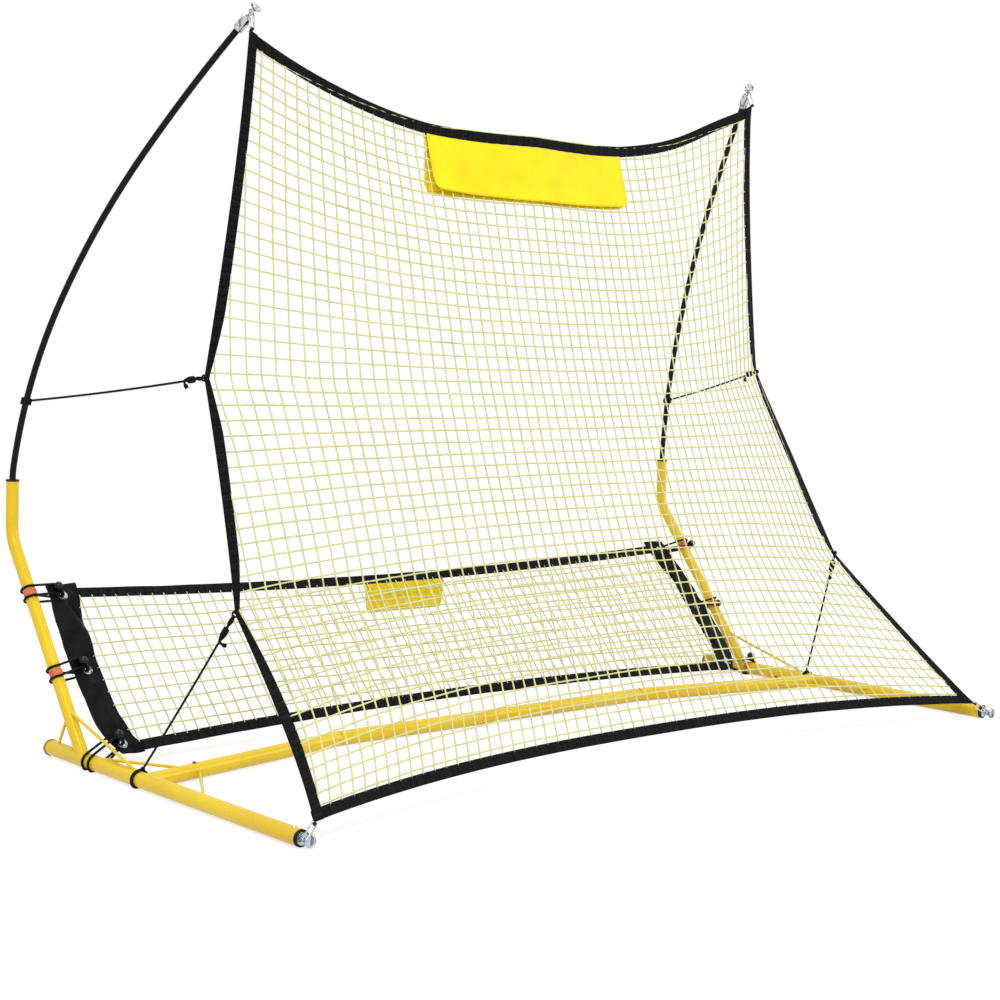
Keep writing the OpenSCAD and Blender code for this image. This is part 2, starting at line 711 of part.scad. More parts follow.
// a plain panel sewn under the top binding, o0 to o1 from the net's middle surface
panel_u = panel_w / 2 / top_corner[0];
panel_v = panel_h / mid_speed;
panel_t = 1;
panel_gap = string_t / 2 + seat;

module net_panel(o0, o1) {
    cols = 16;
    us = [for (i = [0:cols]) panel_u * (-1 + 2 * i / cols)];
    vs = [for (j = [0:3]) bind_v * (1 + 2 * seat / bind_w) + panel_v * j / 3];
    slab([for (v = vs) [for (u = us) off_net(u, v, o1)]], [for (v = vs) [for (u = us) off_net(u, v, o0)]]);
}

module front_panel() color(YELLOW) in_place() net_panel(-panel_gap - panel_t, -panel_gap);
module back_panel() color(YELLOW) in_place() net_panel(panel_gap, panel_gap + panel_t);

// ---------------------------------------------------------------- corner rings

loop_d = 7;
loop_bore = ring_wire + 2 * fit;

// neck: a point on the knob's neck and its axis; corner: the net's corner
function hook_dir(neck, ax, corner) = let(v = corner - neck, w = v - (v * ax) * ax) -unit(w);
function near_bar(neck, ax, corner) = neck + (neck_d / 2 + ring_wire / 2 + seat) * hook_dir(neck, ax, corner);
function far_bar(near, corner) = corner + (loop_d / 2 + seat) * unit(near - corner);

top_near = near_bar(tip_neck_at, tip_dir, top_corner);
top_far = far_bar(top_near, top_corner);
low_near = near_bar(front_neck_at, [0, -1, 0], low_corner);
low_far = far_bar(low_near, low_corner);

// rounded rectangle of wire, its first bar at the origin, running up +Z to its second bar
module wire_ring(len) {
    h = ring_w / 2;
    for (s = [-1, 1]) mirror([s < 0 ? 1 : 0, 0, 0]) {
        translate([h, 0, ring_r]) cylinder(d = ring_wire, h = len - 2 * ring_r);
        translate([h - ring_r, 0, 0]) rotate([0, 90, 0]) mirror([0, 0, 1]) cylinder(d = ring_wire, h = h - ring_r);
        translate([h - ring_r, 0, len]) rotate([0, 90, 0]) mirror([0, 0, 1]) cylinder(d = ring_wire, h = h - ring_r);
        translate([h - ring_r, 0, ring_r]) rotate([90, 0, 0]) rotate([0, 0, -90])
            rotate_extrude(angle = 90) translate([ring_r, 0]) circle(d = ring_wire);
        translate([h - ring_r, 0, len - ring_r]) rotate([90, 0, 0])
            rotate_extrude(angle = 90) translate([ring_r, 0]) circle(d = ring_wire);
    }
}

module corner_rings() color(STEEL) pair() {
    aim(top_near, top_far - top_near, cross(tip_dir, top_far - top_near)) wire_ring(norm(top_far - top_near));
    aim(low_near, low_far - low_near, cross([0, -1, 0], low_far - low_near)) wire_ring(norm(low_far - low_near));
}

module webbing_loop() {
    len = ring_w - 2 * ring_r - 2 * seat;
    rotate([0, 90, 0]) difference() {
        cylinder(d = loop_d, h = len, center = true);
        cylinder(d = loop_bore, h = 2 * len, center = true);
    }
}

module corner_loops() color(BLACK) pair() {
    aim(top_far, top_far - top_near, cross(tip_dir, top_far - top_near)) webbing_loop();
    aim(low_far, low_far - low_near, cross([0, -1, 0], low_far - low_near)) webbing_loop();
}

// ---------------------------------------------------------------- catch net

// sheet frame of the catch net: X across, -Y down the slope from its top edge, +Z out of its front
module catch_frame() {
    in_place() translate([0, rear_top_y, rear_top_z]) rotate([rear_slope, 0, 0]) children();
}

function on_catch(x, s) = [x, rear_top_y - s * cos(rear_slope), rear_top_z - s * sin(rear_slope)];

// line of the grommets, and the end of the bindings beside it
grommet_x = half_span - 76;
catch_edge = grommet_x - 42 - seat;
top_sag = 26;
bottom_rise = 25;
mid_top_s = 28;
mid_bottom_s = rear_depth - 22;
// upper edge of the top binding and lower edge of the bottom binding, as depths below the top edge
function top_line(x) = mid_top_s - top_sag * pow(x / grommet_x, 2);
function bottom_line(x) = mid_bottom_s + bottom_rise * pow(x / grommet_x, 2);

function strip(x0, x1, n, near, far) = concat(
    [for (i = [0:n]) let(x = lerp(x0, x1, i / n)) [x, -near(x)]],
    [for (i = [n:-1:0]) let(x = lerp(x0, x1, i / n)) [x, -far(x)]]);

module catch_binding_top() color(BLACK) catch_frame() linear_extrude(bind_t, center = true)
    polygon(strip(-catch_edge, catch_edge, 16, function(x) top_line(x), function(x) top_line(x) + bind_w));

module catch_binding_bottom() color(BLACK) catch_frame() linear_extrude(bind_t, center = true)
    polygon(strip(-catch_edge, catch_edge, 16, function(x) bottom_line(x) - bind_w, function(x) bottom_line(x)));

module catch_net() color(STRING) catch_frame() linear_extrude(string_t, center = true) difference() {
    polygon(strip(-catch_edge, catch_edge, 16,
        function(x) top_line(x) + bind_w + seat, function(x) bottom_line(x) - bind_w - seat));
    dx = 2 * catch_edge / rear_cols;
    for (i = [0:rear_cols - 1], j = [0:rear_rows - 1]) {
        x0 = -catch_edge + i * dx + string_w / 2 + (i == 0 ? string_w / 2 : 0);
        x1 = -catch_edge + (i + 1) * dx - string_w / 2 - (i == rear_cols - 1 ? string_w / 2 : 0);
        polygon([
            for (c = [[x0, j, 1], [x1, j, 1], [x1, j + 1, -1], [x0, j + 1, -1]])
                let(a = top_line(c[0]) + bind_w + seat, b = bottom_line(c[0]) - bind_w - seat,
                    edge = (c[1] == 0 || c[1] == rear_rows) ? string_w : string_w / 2)
                [c[0], -lerp(a, b, c[1] / rear_rows) - c[2] * edge]
        ]);
    }
}

flange = 1;
// grommets: across and down the slope
GROMMETS = [[grommet_x - 3, 20], [grommet_x + 9, rear_depth / 2 + 5], [grommet_x - 1, rear_depth - 18]];
// outline of an end panel: down the slope, then outward from the line of the grommets
END_OUTER = [[-9, 25], [90, 34], [200, 41], [330, 37], [377, 21], [396, 8]];
END_INNER = [[403, -42], [387, -42], [361, -31], [313, -20], [130, -22], [46, -35], [22, -42], [-8, -42]];

module catch_end(s) color(BLACK) {
    mirror([s > 0 ? 0 : 1, 0, 0]) catch_frame() difference() {
        linear_extrude(sheet_t, center = true) polygon([
            for (e = concat(END_OUTER, END_INNER)) [grommet_x + e[1], -e[0] * rear_depth / 396]
        ]);
        for (g = GROMMETS) translate([g[0], -g[1], -sheet_t]) cylinder(d = grommet_d - 4, h = 2 * sheet_t);
    }
}

module grommets() color(STEEL) for (s = [0, 1]) mirror([s, 0, 0]) catch_frame()
    for (g = GROMMETS) translate([g[0], -g[1], 0]) difference() {
        union() {
            for (f = [0, 1]) mirror([0, 0, f]) translate([0, 0, sheet_t / 2]) cylinder(d = grommet_d, h = flange);
            cylinder(d = grommet_d - 4 - 2 * fit, h = sheet_t, center = true);
        }
        cylinder(d = grommet_hole, h = 4 * sheet_t, center = true);
    }

catch_panel_w = 230;
catch_panel_h = 64;

module catch_panel() color(YELLOW) in_place() {
    top = on_catch(0, mid_top_s + bind_w);
    under = (bind_t / 2 + seat) / cos(rear_slope);
    translate([-catch_panel_w / 2, top[1], top[2] - under - catch_panel_h])
        cube([catch_panel_w, panel_t, catch_panel_h]);
}

// ---------------------------------------------------------------- ball cords

catch_normal = [0, -sin(rear_slope), cos(rear_slope)];
stem_d = 9;
stem_back = 14;
stem_front = 6;
knot_d = 2.4 * bungee_d;
knot_len = 9;
upright_dir = [-cos(lean) * sin(splay), sin(lean), cos(lean) * cos(splay)];
base_loop_y = foot_y - 18;
// on the left each ball lies on its panel, so far outward and up the slope from its grommet
ball_out = 7.5;
ball_up = 15.8;
// on the right each ball lies against the tube, turned so far round it from the grommet, degrees,
// and so far along it
BALL_TURN = [185, 200, 90];
BALL_SHIFT = [0, 6, 0];

// a ball cord's tube: a point on its axis, its direction and its radius
function cord_tube(k) = k < 2
    ? let(g = on_catch(GROMMETS[k][0], GROMMETS[k][1]), f = on_upright(0))
        [f + ((g - f) * upright_dir) * upright_dir, upright_dir, upright_d / 2]
    : [[half_span, base_loop_y, axis_z], [0, 1, 0], base_d / 2];

// thickness of the rubber bands under the cords
band_t = 0.8;

// centre line of a cord's turn round a tube of radius r, of the length that crosses the rubber band
// there, and the middle of a ball against that length
function turn_r(r) = r + bungee_d / 2 + seat;
function over_band_r(r) = r + fit + band_t + seat + bungee_d / 2;
function ball_r(r) = over_band_r(r) + bungee_d / 2 + seat + ball_d / 2;

// two turns round a tube along +Z of radius r, their ends running to the points behind and before
module cord_turns(r, behind, before) {
    ring = turn_r(r);
    strand_gap = bungee_d / 2 + fit;
    function leaves(p, way) = atan2(p[1], p[0]) + way * acos(ring / norm([p[0], p[1]]));
    low = leaves(behind, -1);
    high = leaves(before, 1);
    for (z = [-1, 1]) {
        translate([0, 0, z * bungee_pitch / 2]) rotate([0, 0, high])
            rotate_extrude(angle = 360 + low - high) translate([ring, 0]) circle(d = bungee_d + 2 * fit);
        for (e = [[low, behind], [high, before]]) {
            from = [ring * cos(e[0]), ring * sin(e[0]), z * bungee_pitch / 2];
            to = e[1] + [0, 0, z * strand_gap];
            rod(from - lap * unit(to - from), to, bungee_d);
        }
    }
    translate(behind - [knot_len / 2, 0, 0]) rotate([0, 90, 0]) cylinder(d = knot_d, h = knot_len);
}

function grommet_at(k) = on_catch(GROMMETS[k][0], GROMMETS[k][1]);
function knot_at(k) = grommet_at(k) - stem_back * catch_normal;
function stem_end(k) = grommet_at(k) + stem_front * catch_normal;

// frame at a ball cord's tube, +Z along the tube and +X towards the knot
module tube_frame(k) {
    t = cord_tube(k);
    v = knot_at(k) - t[0];
    aim(t[0], t[1], v - (v * t[1]) * t[1]) children();
}

// a point as that frame sees it
function in_tube_frame(k, p) = let(
        t = cord_tube(k), v = knot_at(k) - t[0], x = unit(v - (v * t[1]) * t[1]), w = p - t[0])
    [w * x, w * cross(t[1], x), w * t[1]];

// on an upright the panel lies between the strands behind it and those before it; the base tube is
// behind the panel, and so are all the strands from it
module ball_cord(k) {
    knot = in_tube_frame(k, knot_at(k));
    before = k < 2 ? in_tube_frame(k, stem_end(k)) : knot + [0, bungee_d / 2 + fit, 0];
    tube_frame(k) cord_turns(cord_tube(k)[2], knot, before);
    rod(knot_at(k), stem_end(k), stem_d);
}

// left ball: lies on the panel beside its grommet
rim = sheet_t / 2 + flange;
function panel_ball(k) =
    on_catch(GROMMETS[k][0] + ball_out, GROMMETS[k][1] - ball_up) + (rim + seat + ball_d / 2) * catch_normal;

module panel_cord(k) {
    ball_cord(k);
    rod(stem_end(k), panel_ball(k), bungee_d);
}

// right ball: its stem stands on a short length between the two turns
module tube_cord(k) {
    r = cord_tube(k)[2];
    ball_cord(k);
    tube_frame(k) rotate([0, 0, BALL_TURN[k]]) translate([0, 0, BALL_SHIFT[k]]) {
        translate([over_band_r(r), 0, -BALL_SHIFT[k]])
            cylinder(d = bungee_d, h = bungee_pitch, center = true);
        rod([over_band_r(r), 0, 0], [ball_r(r), 0, 0], stem_d);
    }
}

// the turns under a base tube are pressed flat by its weight
module above_ground() {
    difference() {
        children();
        translate([0, -2 * base_front, -cap_d]) cube([2 * half_span, 4 * base_front, cap_d]);
    }
}

module ball_cords() color(BLACK) {
    side(-1) above_ground() for (k = [0:2]) panel_cord(k);
    side(1) above_ground() for (k = [0:2]) tube_cord(k);
}

// ball at the origin, bored from its side at -X to its middle
module bored_ball(bore_d) rotate([0, -90, 0]) rotate_extrude($fn = 36) difference() {
    circle(d = ball_d, $fn = 36);
    translate([-ball_d, -ball_d]) square([ball_d, 2 * ball_d]);
    translate([-eps, -seat]) square([bore_d / 2 + fit + eps, ball_d]);
}

module cord_balls() color(BLACK) {
    side(-1) for (k = [0:2]) let(v = panel_ball(k) - stem_end(k))
        aim(panel_ball(k), v) rotate([0, -90, 0]) bored_ball(bungee_d);
    side(1) for (k = [0:2]) tube_frame(k) rotate([0, 0, BALL_TURN[k]])
        translate([ball_r(cord_tube(k)[2]), 0, BALL_SHIFT[k]]) bored_ball(stem_d);
}

module band(p, dir, r) {
    aim(p, dir) translate([0, 0, -band_w / 2]) difference() {
        cylinder(r = r + fit + band_t, h = band_w);
        translate([0, 0, -eps]) cylinder(r = r + fit, h = band_w + 2 * eps);
    }
}

module cord_band(k) {
    t = cord_tube(k);
    band(t[0], t[1], t[2]);
}

module rubber_bands() color("indianred") {
    pair() for (k = [0, 1]) cord_band(k);
    side(1) above_ground() cord_band(2);
}

// ---------------------------------------------------------------- pull cords

upper_at = 16;   // lean of the pole where the upper cord is tied, degrees
upper_tie = bow_point(1, upper_at);
upper_tie_dir = bow_dir(upper_at);
waist_u = SIDE[2];
waist_l = SIDE[4];
knot_run = 22;
pull_knot_d = 7;
tie_d = pole_d + 2 * seat + 2 * upper_cord_d;
ring_tie_d = base_d + 2 * seat + 2 * lower_cord_d;

// a point at distance d from p towards q
function toward(p, q, d) = p + d * unit(q - p);

upper_from = toward(upper_tie, waist_u, tie_d / 2 - 1);
ring_tie_w = 4.5;
ring_tie_y = 4;
ring_tie = [half_span, ring_tie_y, axis_z];
lower_from = toward(ring_tie, waist_l, ring_tie_d / 2 + seat);
// the knots end just short of the binding's edge
upper_knot = toward(waist_u, upper_tie, seat + bind_t / 2);
lower_knot = toward(waist_l, ring_tie, 3 * seat + bind_t / 2);

module upper_pull_cords() color(BLACK) pair() difference() {
    union() {
        aim(upper_tie, upper_tie_dir) cylinder(d = tie_d, h = 3 * upper_cord_d, center = true);
        rod(upper_from, toward(upper_knot, upper_tie, knot_run + fit), upper_cord_d);
    }
    aim(upper_tie, upper_tie_dir) cylinder(d = pole_d + 2 * seat, h = 8 * upper_cord_d, center = true);
}

module lower_pull_cords() color(BLACK) pair()
    rod(lower_from, toward(lower_knot, lower_from, knot_run), lower_cord_d);

module base_cord_rings() color("#3a1616") pair() above_ground() base_axis(ring_tie_y) difference() {
    cylinder(d = ring_tie_d, h = ring_tie_w, center = true);
    cylinder(d = base_d + 2 * seat, h = 4 * ring_tie_w, center = true);
}

module pull_knot(p, v) {
    aim(p, v) {
        cylinder(d = pull_knot_d, h = knot_run - 4);
        translate([0, 0, knot_run - 4]) cylinder(d1 = pull_knot_d, d2 = pull_knot_d - 3, h = 4);
    }
}

module cord_knots() color("#303030") pair() {
    pull_knot(upper_knot, upper_tie - upper_knot);
    pull_knot(lower_knot, lower_from - lower_knot);
}

base_tube(-1);  // base_tube_left
base_tube(1);  // base_tube_right
upright_socket_piece(-1);  // upright_socket_left
upright_socket_piece(1);  // upright_socket_right
cross_socket_piece(-1);  // cross_socket_left
cross_socket_piece(1);  // cross_socket_right
braces(-1);  // brace_rods_left
braces(1);  // brace_rods_right
rear_caps();
front_collars();
front_knobs();
front_rivets();
upright(-1);  // upright_left
upright(1);  // upright_right
cross_tube(-1);  // cross_tube_left
cross_tube_middle();
cross_tube(1);  // cross_tube_right
cross_button_piece(-1);  // cross_button_left
cross_button_piece(1);  // cross_button_right
upright_button_piece(-1);  // upright_button_left
upright_button_piece(1);  // upright_button_right
button_springs();
pole_bushes();
pole(-1);  // pole_left
pole(1);  // pole_right
tip_sleeves();
tip_knobs();
corner_rings();
corner_loops();
rebound_net();
net_binding_top();
net_binding_bottom();
net_binding(-1);  // net_binding_left
net_binding(1);  // net_binding_right
front_panel();
back_panel();
catch_net();
catch_binding_top();
catch_binding_bottom();
catch_end(-1);  // catch_end_left
catch_end(1);  // catch_end_right
catch_panel();
grommets();
ball_cords();
cord_balls();
rubber_bands();
upper_pull_cords();
lower_pull_cords();
cord_knots();
base_cord_rings();
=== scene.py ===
"""A ball rebounder, dressed: powder-coated side frames and cross tube, fibreglass poles, knotted nets in
webbing bindings, yellow panels, coated end panels, ball cords and pull cords. Lengths here are in mm
where a piece is laid out, and in metres on the finished meshes."""
import math

import bpy
import numpy as np
from mathutils import Matrix, Vector, noise


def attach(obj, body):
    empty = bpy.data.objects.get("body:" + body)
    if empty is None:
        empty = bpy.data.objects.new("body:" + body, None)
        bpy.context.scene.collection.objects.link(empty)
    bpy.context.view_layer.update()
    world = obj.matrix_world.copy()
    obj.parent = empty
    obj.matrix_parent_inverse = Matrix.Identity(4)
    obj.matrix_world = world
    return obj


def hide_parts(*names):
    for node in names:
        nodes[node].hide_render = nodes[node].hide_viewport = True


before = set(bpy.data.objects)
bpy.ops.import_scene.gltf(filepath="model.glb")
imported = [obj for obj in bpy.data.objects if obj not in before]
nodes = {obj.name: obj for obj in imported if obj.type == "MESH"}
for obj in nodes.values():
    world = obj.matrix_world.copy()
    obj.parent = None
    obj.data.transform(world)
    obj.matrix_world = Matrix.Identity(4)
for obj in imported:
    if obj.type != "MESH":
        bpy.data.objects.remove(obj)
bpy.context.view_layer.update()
scene = bpy.context.scene
bpy.ops.object.select_all(action="DESELECT")

# ------------------------------------------------------------ layout of the frame, mm
HALF_SPAN = 940.0
AXIS_Z = 16.0
SHIFT_Y = 1.25
BASE_D = 30.0
UPRIGHT_D = 25.0
POLE_D = 13.0
FOOT_Y = 212.0
BEND_Y = 519.0
BEND_H = 398.0
UPRIGHT_TOP = 112.0
BUSH_T = 4.0
SPLAY = math.radians(0.6)
LEAN = math.atan2(BEND_Y - FOOT_Y, BEND_H)
POLE_TURN = math.radians(26.0)
POLE_RADII = [170.0, 1090.0, 1670.0, 3300.0]
POLE_ANGLES = [8.9, 18.9, 11.4, 5.3]

# ------------------------------------------------------------ camera


def set_camera():
    """Camera at eye height, ahead of the left side frame."""
    turn, dip, roll = 0.717537, 0.079516, 0.022488
    ahead = Vector((math.sin(turn) * math.cos(dip), math.cos(turn) * math.cos(dip), -math.sin(dip)))
    right = Vector((math.cos(turn), -math.sin(turn), 0))
    up = right.cross(ahead)
    across = right * math.cos(roll) + up * math.sin(roll)
    upward = up * math.cos(roll) - right * math.sin(roll)
    data = bpy.data.cameras.new("portrait_camera")
    data.sensor_width = 36
    data.lens = 67.589
    data.clip_start, data.clip_end = 0.05, 200
    camera = bpy.data.objects.new("portrait_camera", data)
    turned = Matrix((across, upward, -ahead)).transposed().to_4x4()
    camera.matrix_world = Matrix.Translation((-2.66934, -2.95751, 0.81000)) @ turned
    scene.collection.objects.link(camera)
    scene.camera = camera


set_camera()

# ------------------------------------------------------------ finishes


def paint(red, green, blue):
    """A colour as it is mixed on a screen, 0 to 255, as light."""
    light = (c / 3294.6 if c <= 10 else ((c / 255 + 0.055) / 1.055) ** 2.4 for c in (red, green, blue))
    return tuple(light) + (1.0,)


class Finish:
    """A material and the few calls that its nodes are put together with."""

    def __init__(self, name, colour, rough, metal=0.0, **sockets):
        self.material = bpy.data.materials.new(name)
        self.material.use_nodes = True
        self.tree = self.material.node_tree
        self.shader = self.tree.nodes["Principled BSDF"]
        self.set(self.shader, {"Base Color": colour, "Roughness": rough, "Metallic": metal})
        self.set(self.shader, {k.replace("_", " "): v for k, v in sockets.items()})

    def set(self, node, values):
        for key, value in values.items():
            node.inputs[key].default_value = value

    def node(self, kind, values=None, **settings):
        made = self.tree.nodes.new("ShaderNode" + kind)
        for key, value in settings.items():
            setattr(made, key, value)
        self.set(made, values or {})
        return made

    def join(self, out, into):
        self.tree.links.new(out, into)
        return into

    def place(self):
        """Object coordinates, so a pattern stays on the piece."""
        return self.node("TexCoord").outputs["Object"]

    def own_map(self):
        """The piece's own map: metres along, then metres across or turns round."""
        return self.node("UVMap", uv_map="laid_out").outputs["UV"]

    def sized(self, vector, scale):
        made = self.node("Mapping")
        made.inputs["Scale"].default_value = scale
        self.join(vector, made.inputs["Vector"])
        return made.outputs["Vector"]

    def speckle(self, vector, scale, detail=2.0, rough=0.5):
        made = self.node("TexNoise", {"Scale": scale, "Detail": detail, "Roughness": rough})
        self.join(vector, made.inputs["Vector"])
        return made.outputs["Fac"]

    def math(self, kind, a, b=0.0, clamp=False):
        made = self.node("Math", operation=kind, use_clamp=clamp)
        for value, socket in ((a, made.inputs[0]), (b, made.inputs[1])):
            if isinstance(value, (int, float)):
                socket.default_value = value
            else:
                self.join(value, socket)
        return made.outputs[0]

    def span(self, value, low, high, to_low=0.0, to_high=1.0):
        made = self.node("MapRange", {"From Min": low, "From Max": high, "To Min": to_low, "To Max": to_high})
        self.join(value, made.inputs["Value"])
        return made.outputs["Result"]

    def blend(self, share, first, second):
        made = self.node("Mix", data_type="RGBA")
        if isinstance(share, (int, float)):
            made.inputs["Factor"].default_value = share
        else:
            self.join(share, made.inputs["Factor"])
        for value, socket in ((first, made.inputs[6]), (second, made.inputs[7])):
            if isinstance(value, tuple):
                socket.default_value = value
            else:
                self.join(value, socket)
        return made.outputs[2]

    def colour(self, out):
        self.join(out, self.shader.inputs["Base Color"])

    def roughness(self, out):
        self.join(out, self.shader.inputs["Roughness"])

    def relief(self, height, depth, strength=1.0, onto=None):
        made = self.node("Bump", {"Distance": depth, "Strength": strength})
        self.join(height, made.inputs["Height"])
        if onto is not None:
            self.join(onto, made.inputs["Normal"])
        self.join(made.outputs["Normal"], self.shader.inputs["Normal"])
        return made.outputs["Normal"]

    def charted(self):
        """Along and across the piece's own chart."""
        parts = self.node("SeparateXYZ")
        self.join(self.own_map(), parts.inputs[0])
        return parts.outputs[0], parts.outputs[1]

    def wave(self, value, pitch):
        return self.math("SINE", self.math("MULTIPLY", value, 2 * math.pi / pitch))

    def stripe(self, along, centre, half):
        """1 within half of centre, 0 elsewhere, with soft edges."""
        off = self.math("ABSOLUTE", self.math("SUBTRACT", along, centre))
        return self.span(off, half * 0.7, half * 1.3, 1.0, 0.0)

    def dashes(self, along, pitch, share):
        """Stitches: 1 for share of every pitch."""
        part = self.math("FRACT", self.math("DIVIDE", along, pitch))
        return self.math("LESS_THAN", part, share)


def powder_coat():
    f = Finish("yellow_powder_coat", paint(224, 190, 16), 0.32, Coat_Weight=0.2, Coat_Roughness=0.12,
               Specular_IOR_Level=0.25)
    at = f.place()
    clouds = f.speckle(at, 5.0, 3.0)
    rubbed = f.span(f.speckle(at, 70.0, 9.0, 0.72), 0.66, 0.74)
    base = f.blend(f.span(clouds, 0.3, 0.7), paint(218, 180, 12), paint(230, 199, 22))
    f.colour(f.blend(f.math("MULTIPLY", rubbed, 0.3), base, paint(196, 160, 44)))
    mottled = f.span(f.speckle(at, 40.0, 4.0), 0.3, 0.7, 0.24, 0.38)
    f.roughness(f.math("ADD", mottled, f.math("MULTIPLY", rubbed, 0.16)))
    f.relief(f.speckle(at, 650.0, 2.0), 0.0004, 0.25)
    return f.material


def plated(name, colour, rough, worn, painted_reflection_share=0.72):
    f = Finish(name, colour, rough, 1.0)
    at = f.place()
    smear = f.speckle(f.sized(at, (1.0, 1.0, 6.0)), 60.0, 6.0, 0.65)
    # bands: dark streaks painted across the metal towards paint(58, 61, 68), a painted reflection of dark
    # surroundings, blended in below at the given strength
    bands = f.speckle(f.sized(at, (1.0, 1.0, 0.35)), 130.0, 1.5, 0.4)
    tone = f.blend(f.span(smear, 0.35, 0.75), colour, worn)
    f.colour(f.blend(f.span(bands, 0.54, 0.6, 0.0, painted_reflection_share), tone, paint(58, 61, 68)))
    f.roughness(f.span(smear, 0.3, 0.75, rough * 0.7, rough * 1.6))
    f.relief(f.speckle(at, 500.0, 2.0), 0.00002, 0.12)
    return f.material


def moulded(name, colour, lighter, rough):
    f = Finish(name, colour, rough, Specular_IOR_Level=0.3)
    at = f.place()
    f.colour(f.blend(f.span(f.speckle(at, 55.0, 6.0, 0.6), 0.4, 0.75), colour, lighter))
    f.roughness(f.span(f.speckle(at, 120.0, 4.0), 0.3, 0.7, rough * 0.8, rough * 1.25))
    f.relief(f.speckle(at, 1400.0, 2.0), 0.00015, 0.35)
    return f.material


def fibreglass():
    f = Finish("black_fibreglass", paint(7, 7, 8), 0.4, Coat_Weight=0.12, Coat_Roughness=0.08,
               Specular_IOR_Level=0.1)
    at = f.place()
    strands = f.speckle(f.sized(at, (600.0, 600.0, 12.0)), 1.0, 4.0, 0.6)
    f.colour(f.blend(f.span(strands, 0.35, 0.7), paint(5, 5, 6), paint(13, 13, 15)))
    f.roughness(f.span(f.speckle(at, 25.0, 4.0), 0.3, 0.7, 0.22, 0.4))
    f.relief(strands, 0.0002, 0.3)
    return f.material


def webbing(name, dark, light, half_width):
    """Folded woven tape: ribs across it, paler edges painted on as sheen, a pressed fold darkened with
    painted shade, and a row of stitches.
    """
    f = Finish(name, dark, 0.8, Specular_IOR_Level=0.08)
    along, over = f.charted()
    ribs = f.wave(along, 0.0011)
    cross = f.wave(over, 0.0014)
    weave = f.math("MULTIPLY", f.math("ADD", ribs, cross), 0.5)
    fold = f.stripe(over, half_width, 0.0012)
    edges = f.math("MAXIMUM", f.stripe(over, 0.0022, 0.0022), f.stripe(over, 2 * half_width - 0.002, 0.002))
    seam = f.math("MULTIPLY", f.stripe(over, 2 * half_width - 0.0045, 0.0006), f.dashes(along, 0.0042, 0.66))
    fuzz = f.speckle(f.place(), 240.0, 6.0, 0.7)
    tone = f.blend(f.span(fuzz, 0.3, 0.75), dark, light)
    # painted sheen: both edges of the tape lightened where it rounds over
    tone = f.blend(f.math("MULTIPLY", edges, 0.5), tone, light)
    # painted shade: the pressed fold darkened towards paint(5, 5, 6) along the crease
    tone = f.blend(f.math("MULTIPLY", fold, 0.75), tone, paint(5, 5, 6))
    tone = f.blend(f.math("MULTIPLY", seam, 0.6), tone, paint(54, 55, 59))
    f.colour(tone)
    f.roughness(f.span(fuzz, 0.3, 0.7, 0.68, 0.88))
    woven = f.relief(weave, 0.0003, 0.6)
    f.relief(f.math("SUBTRACT", seam, f.math("MULTIPLY", fold, 1.6)), 0.0006, 0.8, woven)
    return f.material


def netting():
    """Round knotted string of fluorescent yellow yarn."""
    f = Finish("net_string", paint(210, 209, 146), 0.6)
    along, over = f.charted()
    twist = f.math("SINE", f.math("ADD", f.math("MULTIPLY", along, 2 * math.pi / 0.003),
                                  f.math("MULTIPLY", over, 2 * math.pi)))
    soil = f.speckle(f.place(), 9.0, 5.0, 0.6)
    tone = f.blend(f.span(soil, 0.3, 0.7), paint(207, 207, 136), paint(221, 218, 162))
    f.colour(f.blend(f.span(twist, -1.0, 1.0, 0.0, 0.3), tone, paint(176, 176, 110)))
    f.relief(twist, 0.0003, 0.6)
    return f.material


def braid(name, dark, light, pitch, rough):
    """Braided cord: two sets of yarns that cross round it."""
    f = Finish(name, dark, rough, Specular_IOR_Level=0.15)
    along, over = f.charted()
    run = f.math("MULTIPLY", along, 2 * math.pi / pitch)
    turn = f.math("MULTIPLY", over, 2 * math.pi * 4)
    one = f.math("SINE", f.math("ADD", run, turn))
    two = f.math("SINE", f.math("SUBTRACT", run, turn))
    yarns = f.math("MULTIPLY", one, two)
    soft = f.speckle(f.place(), 500.0, 4.0)
    tone = f.blend(f.span(yarns, -0.7, 0.9), dark, light)
    f.colour(f.blend(f.span(soft, 0.35, 0.8, 0.0, 0.4), tone, light))
    f.roughness(f.span(yarns, -1.0, 1.0, rough * 1.15, rough * 0.85))
    f.relief(yarns, 0.0005, 0.7)
    return f.material


def plain_cloth(name, colour, deep, pale, rough, thread, hem=None, gloss=0.15):
    """Plain-woven sheet: threads both ways, slight unevenness, and a hem stitched round (width, height)."""
    f = Finish(name, colour, rough, Specular_IOR_Level=gloss)
    along, over = f.charted()
    warp = f.wave(along, thread)
    weft = f.wave(over, thread)
    weave = f.math("MULTIPLY", warp, weft)
    at = f.place()
    uneven = f.speckle(at, 14.0, 5.0, 0.6)
    tone = f.blend(f.span(uneven, 0.3, 0.7), deep, pale)
    tone = f.blend(f.span(weave, -1.0, 1.0, 0.0, 0.12), tone, deep)
    normal = f.relief(weave, 0.0002, 0.4)
    normal = f.relief(f.speckle(at, 38.0, 5.0, 0.6), 0.002, 0.35, normal)
    if hem:
        wide, tall = hem
        rim = f.math("MINIMUM", f.math("MINIMUM", along, f.math("SUBTRACT", wide, along)),
                     f.math("SUBTRACT", tall, over))
        seam = f.stripe(rim, 0.006, 0.0006)
        runs = f.math("MULTIPLY", seam, f.dashes(f.math("ADD", along, over), 0.004, 0.65))
        ply = f.span(rim, 0.007, 0.0078, 1.0, 0.0)
        tone = f.blend(f.math("MULTIPLY", runs, 0.45), tone, deep)
        f.relief(f.math("SUBTRACT", ply, runs), 0.0008, 0.8, normal)
    f.colour(tone)
    f.roughness(f.span(uneven, 0.3, 0.7, rough * 0.85, rough * 1.1))
    return f.material


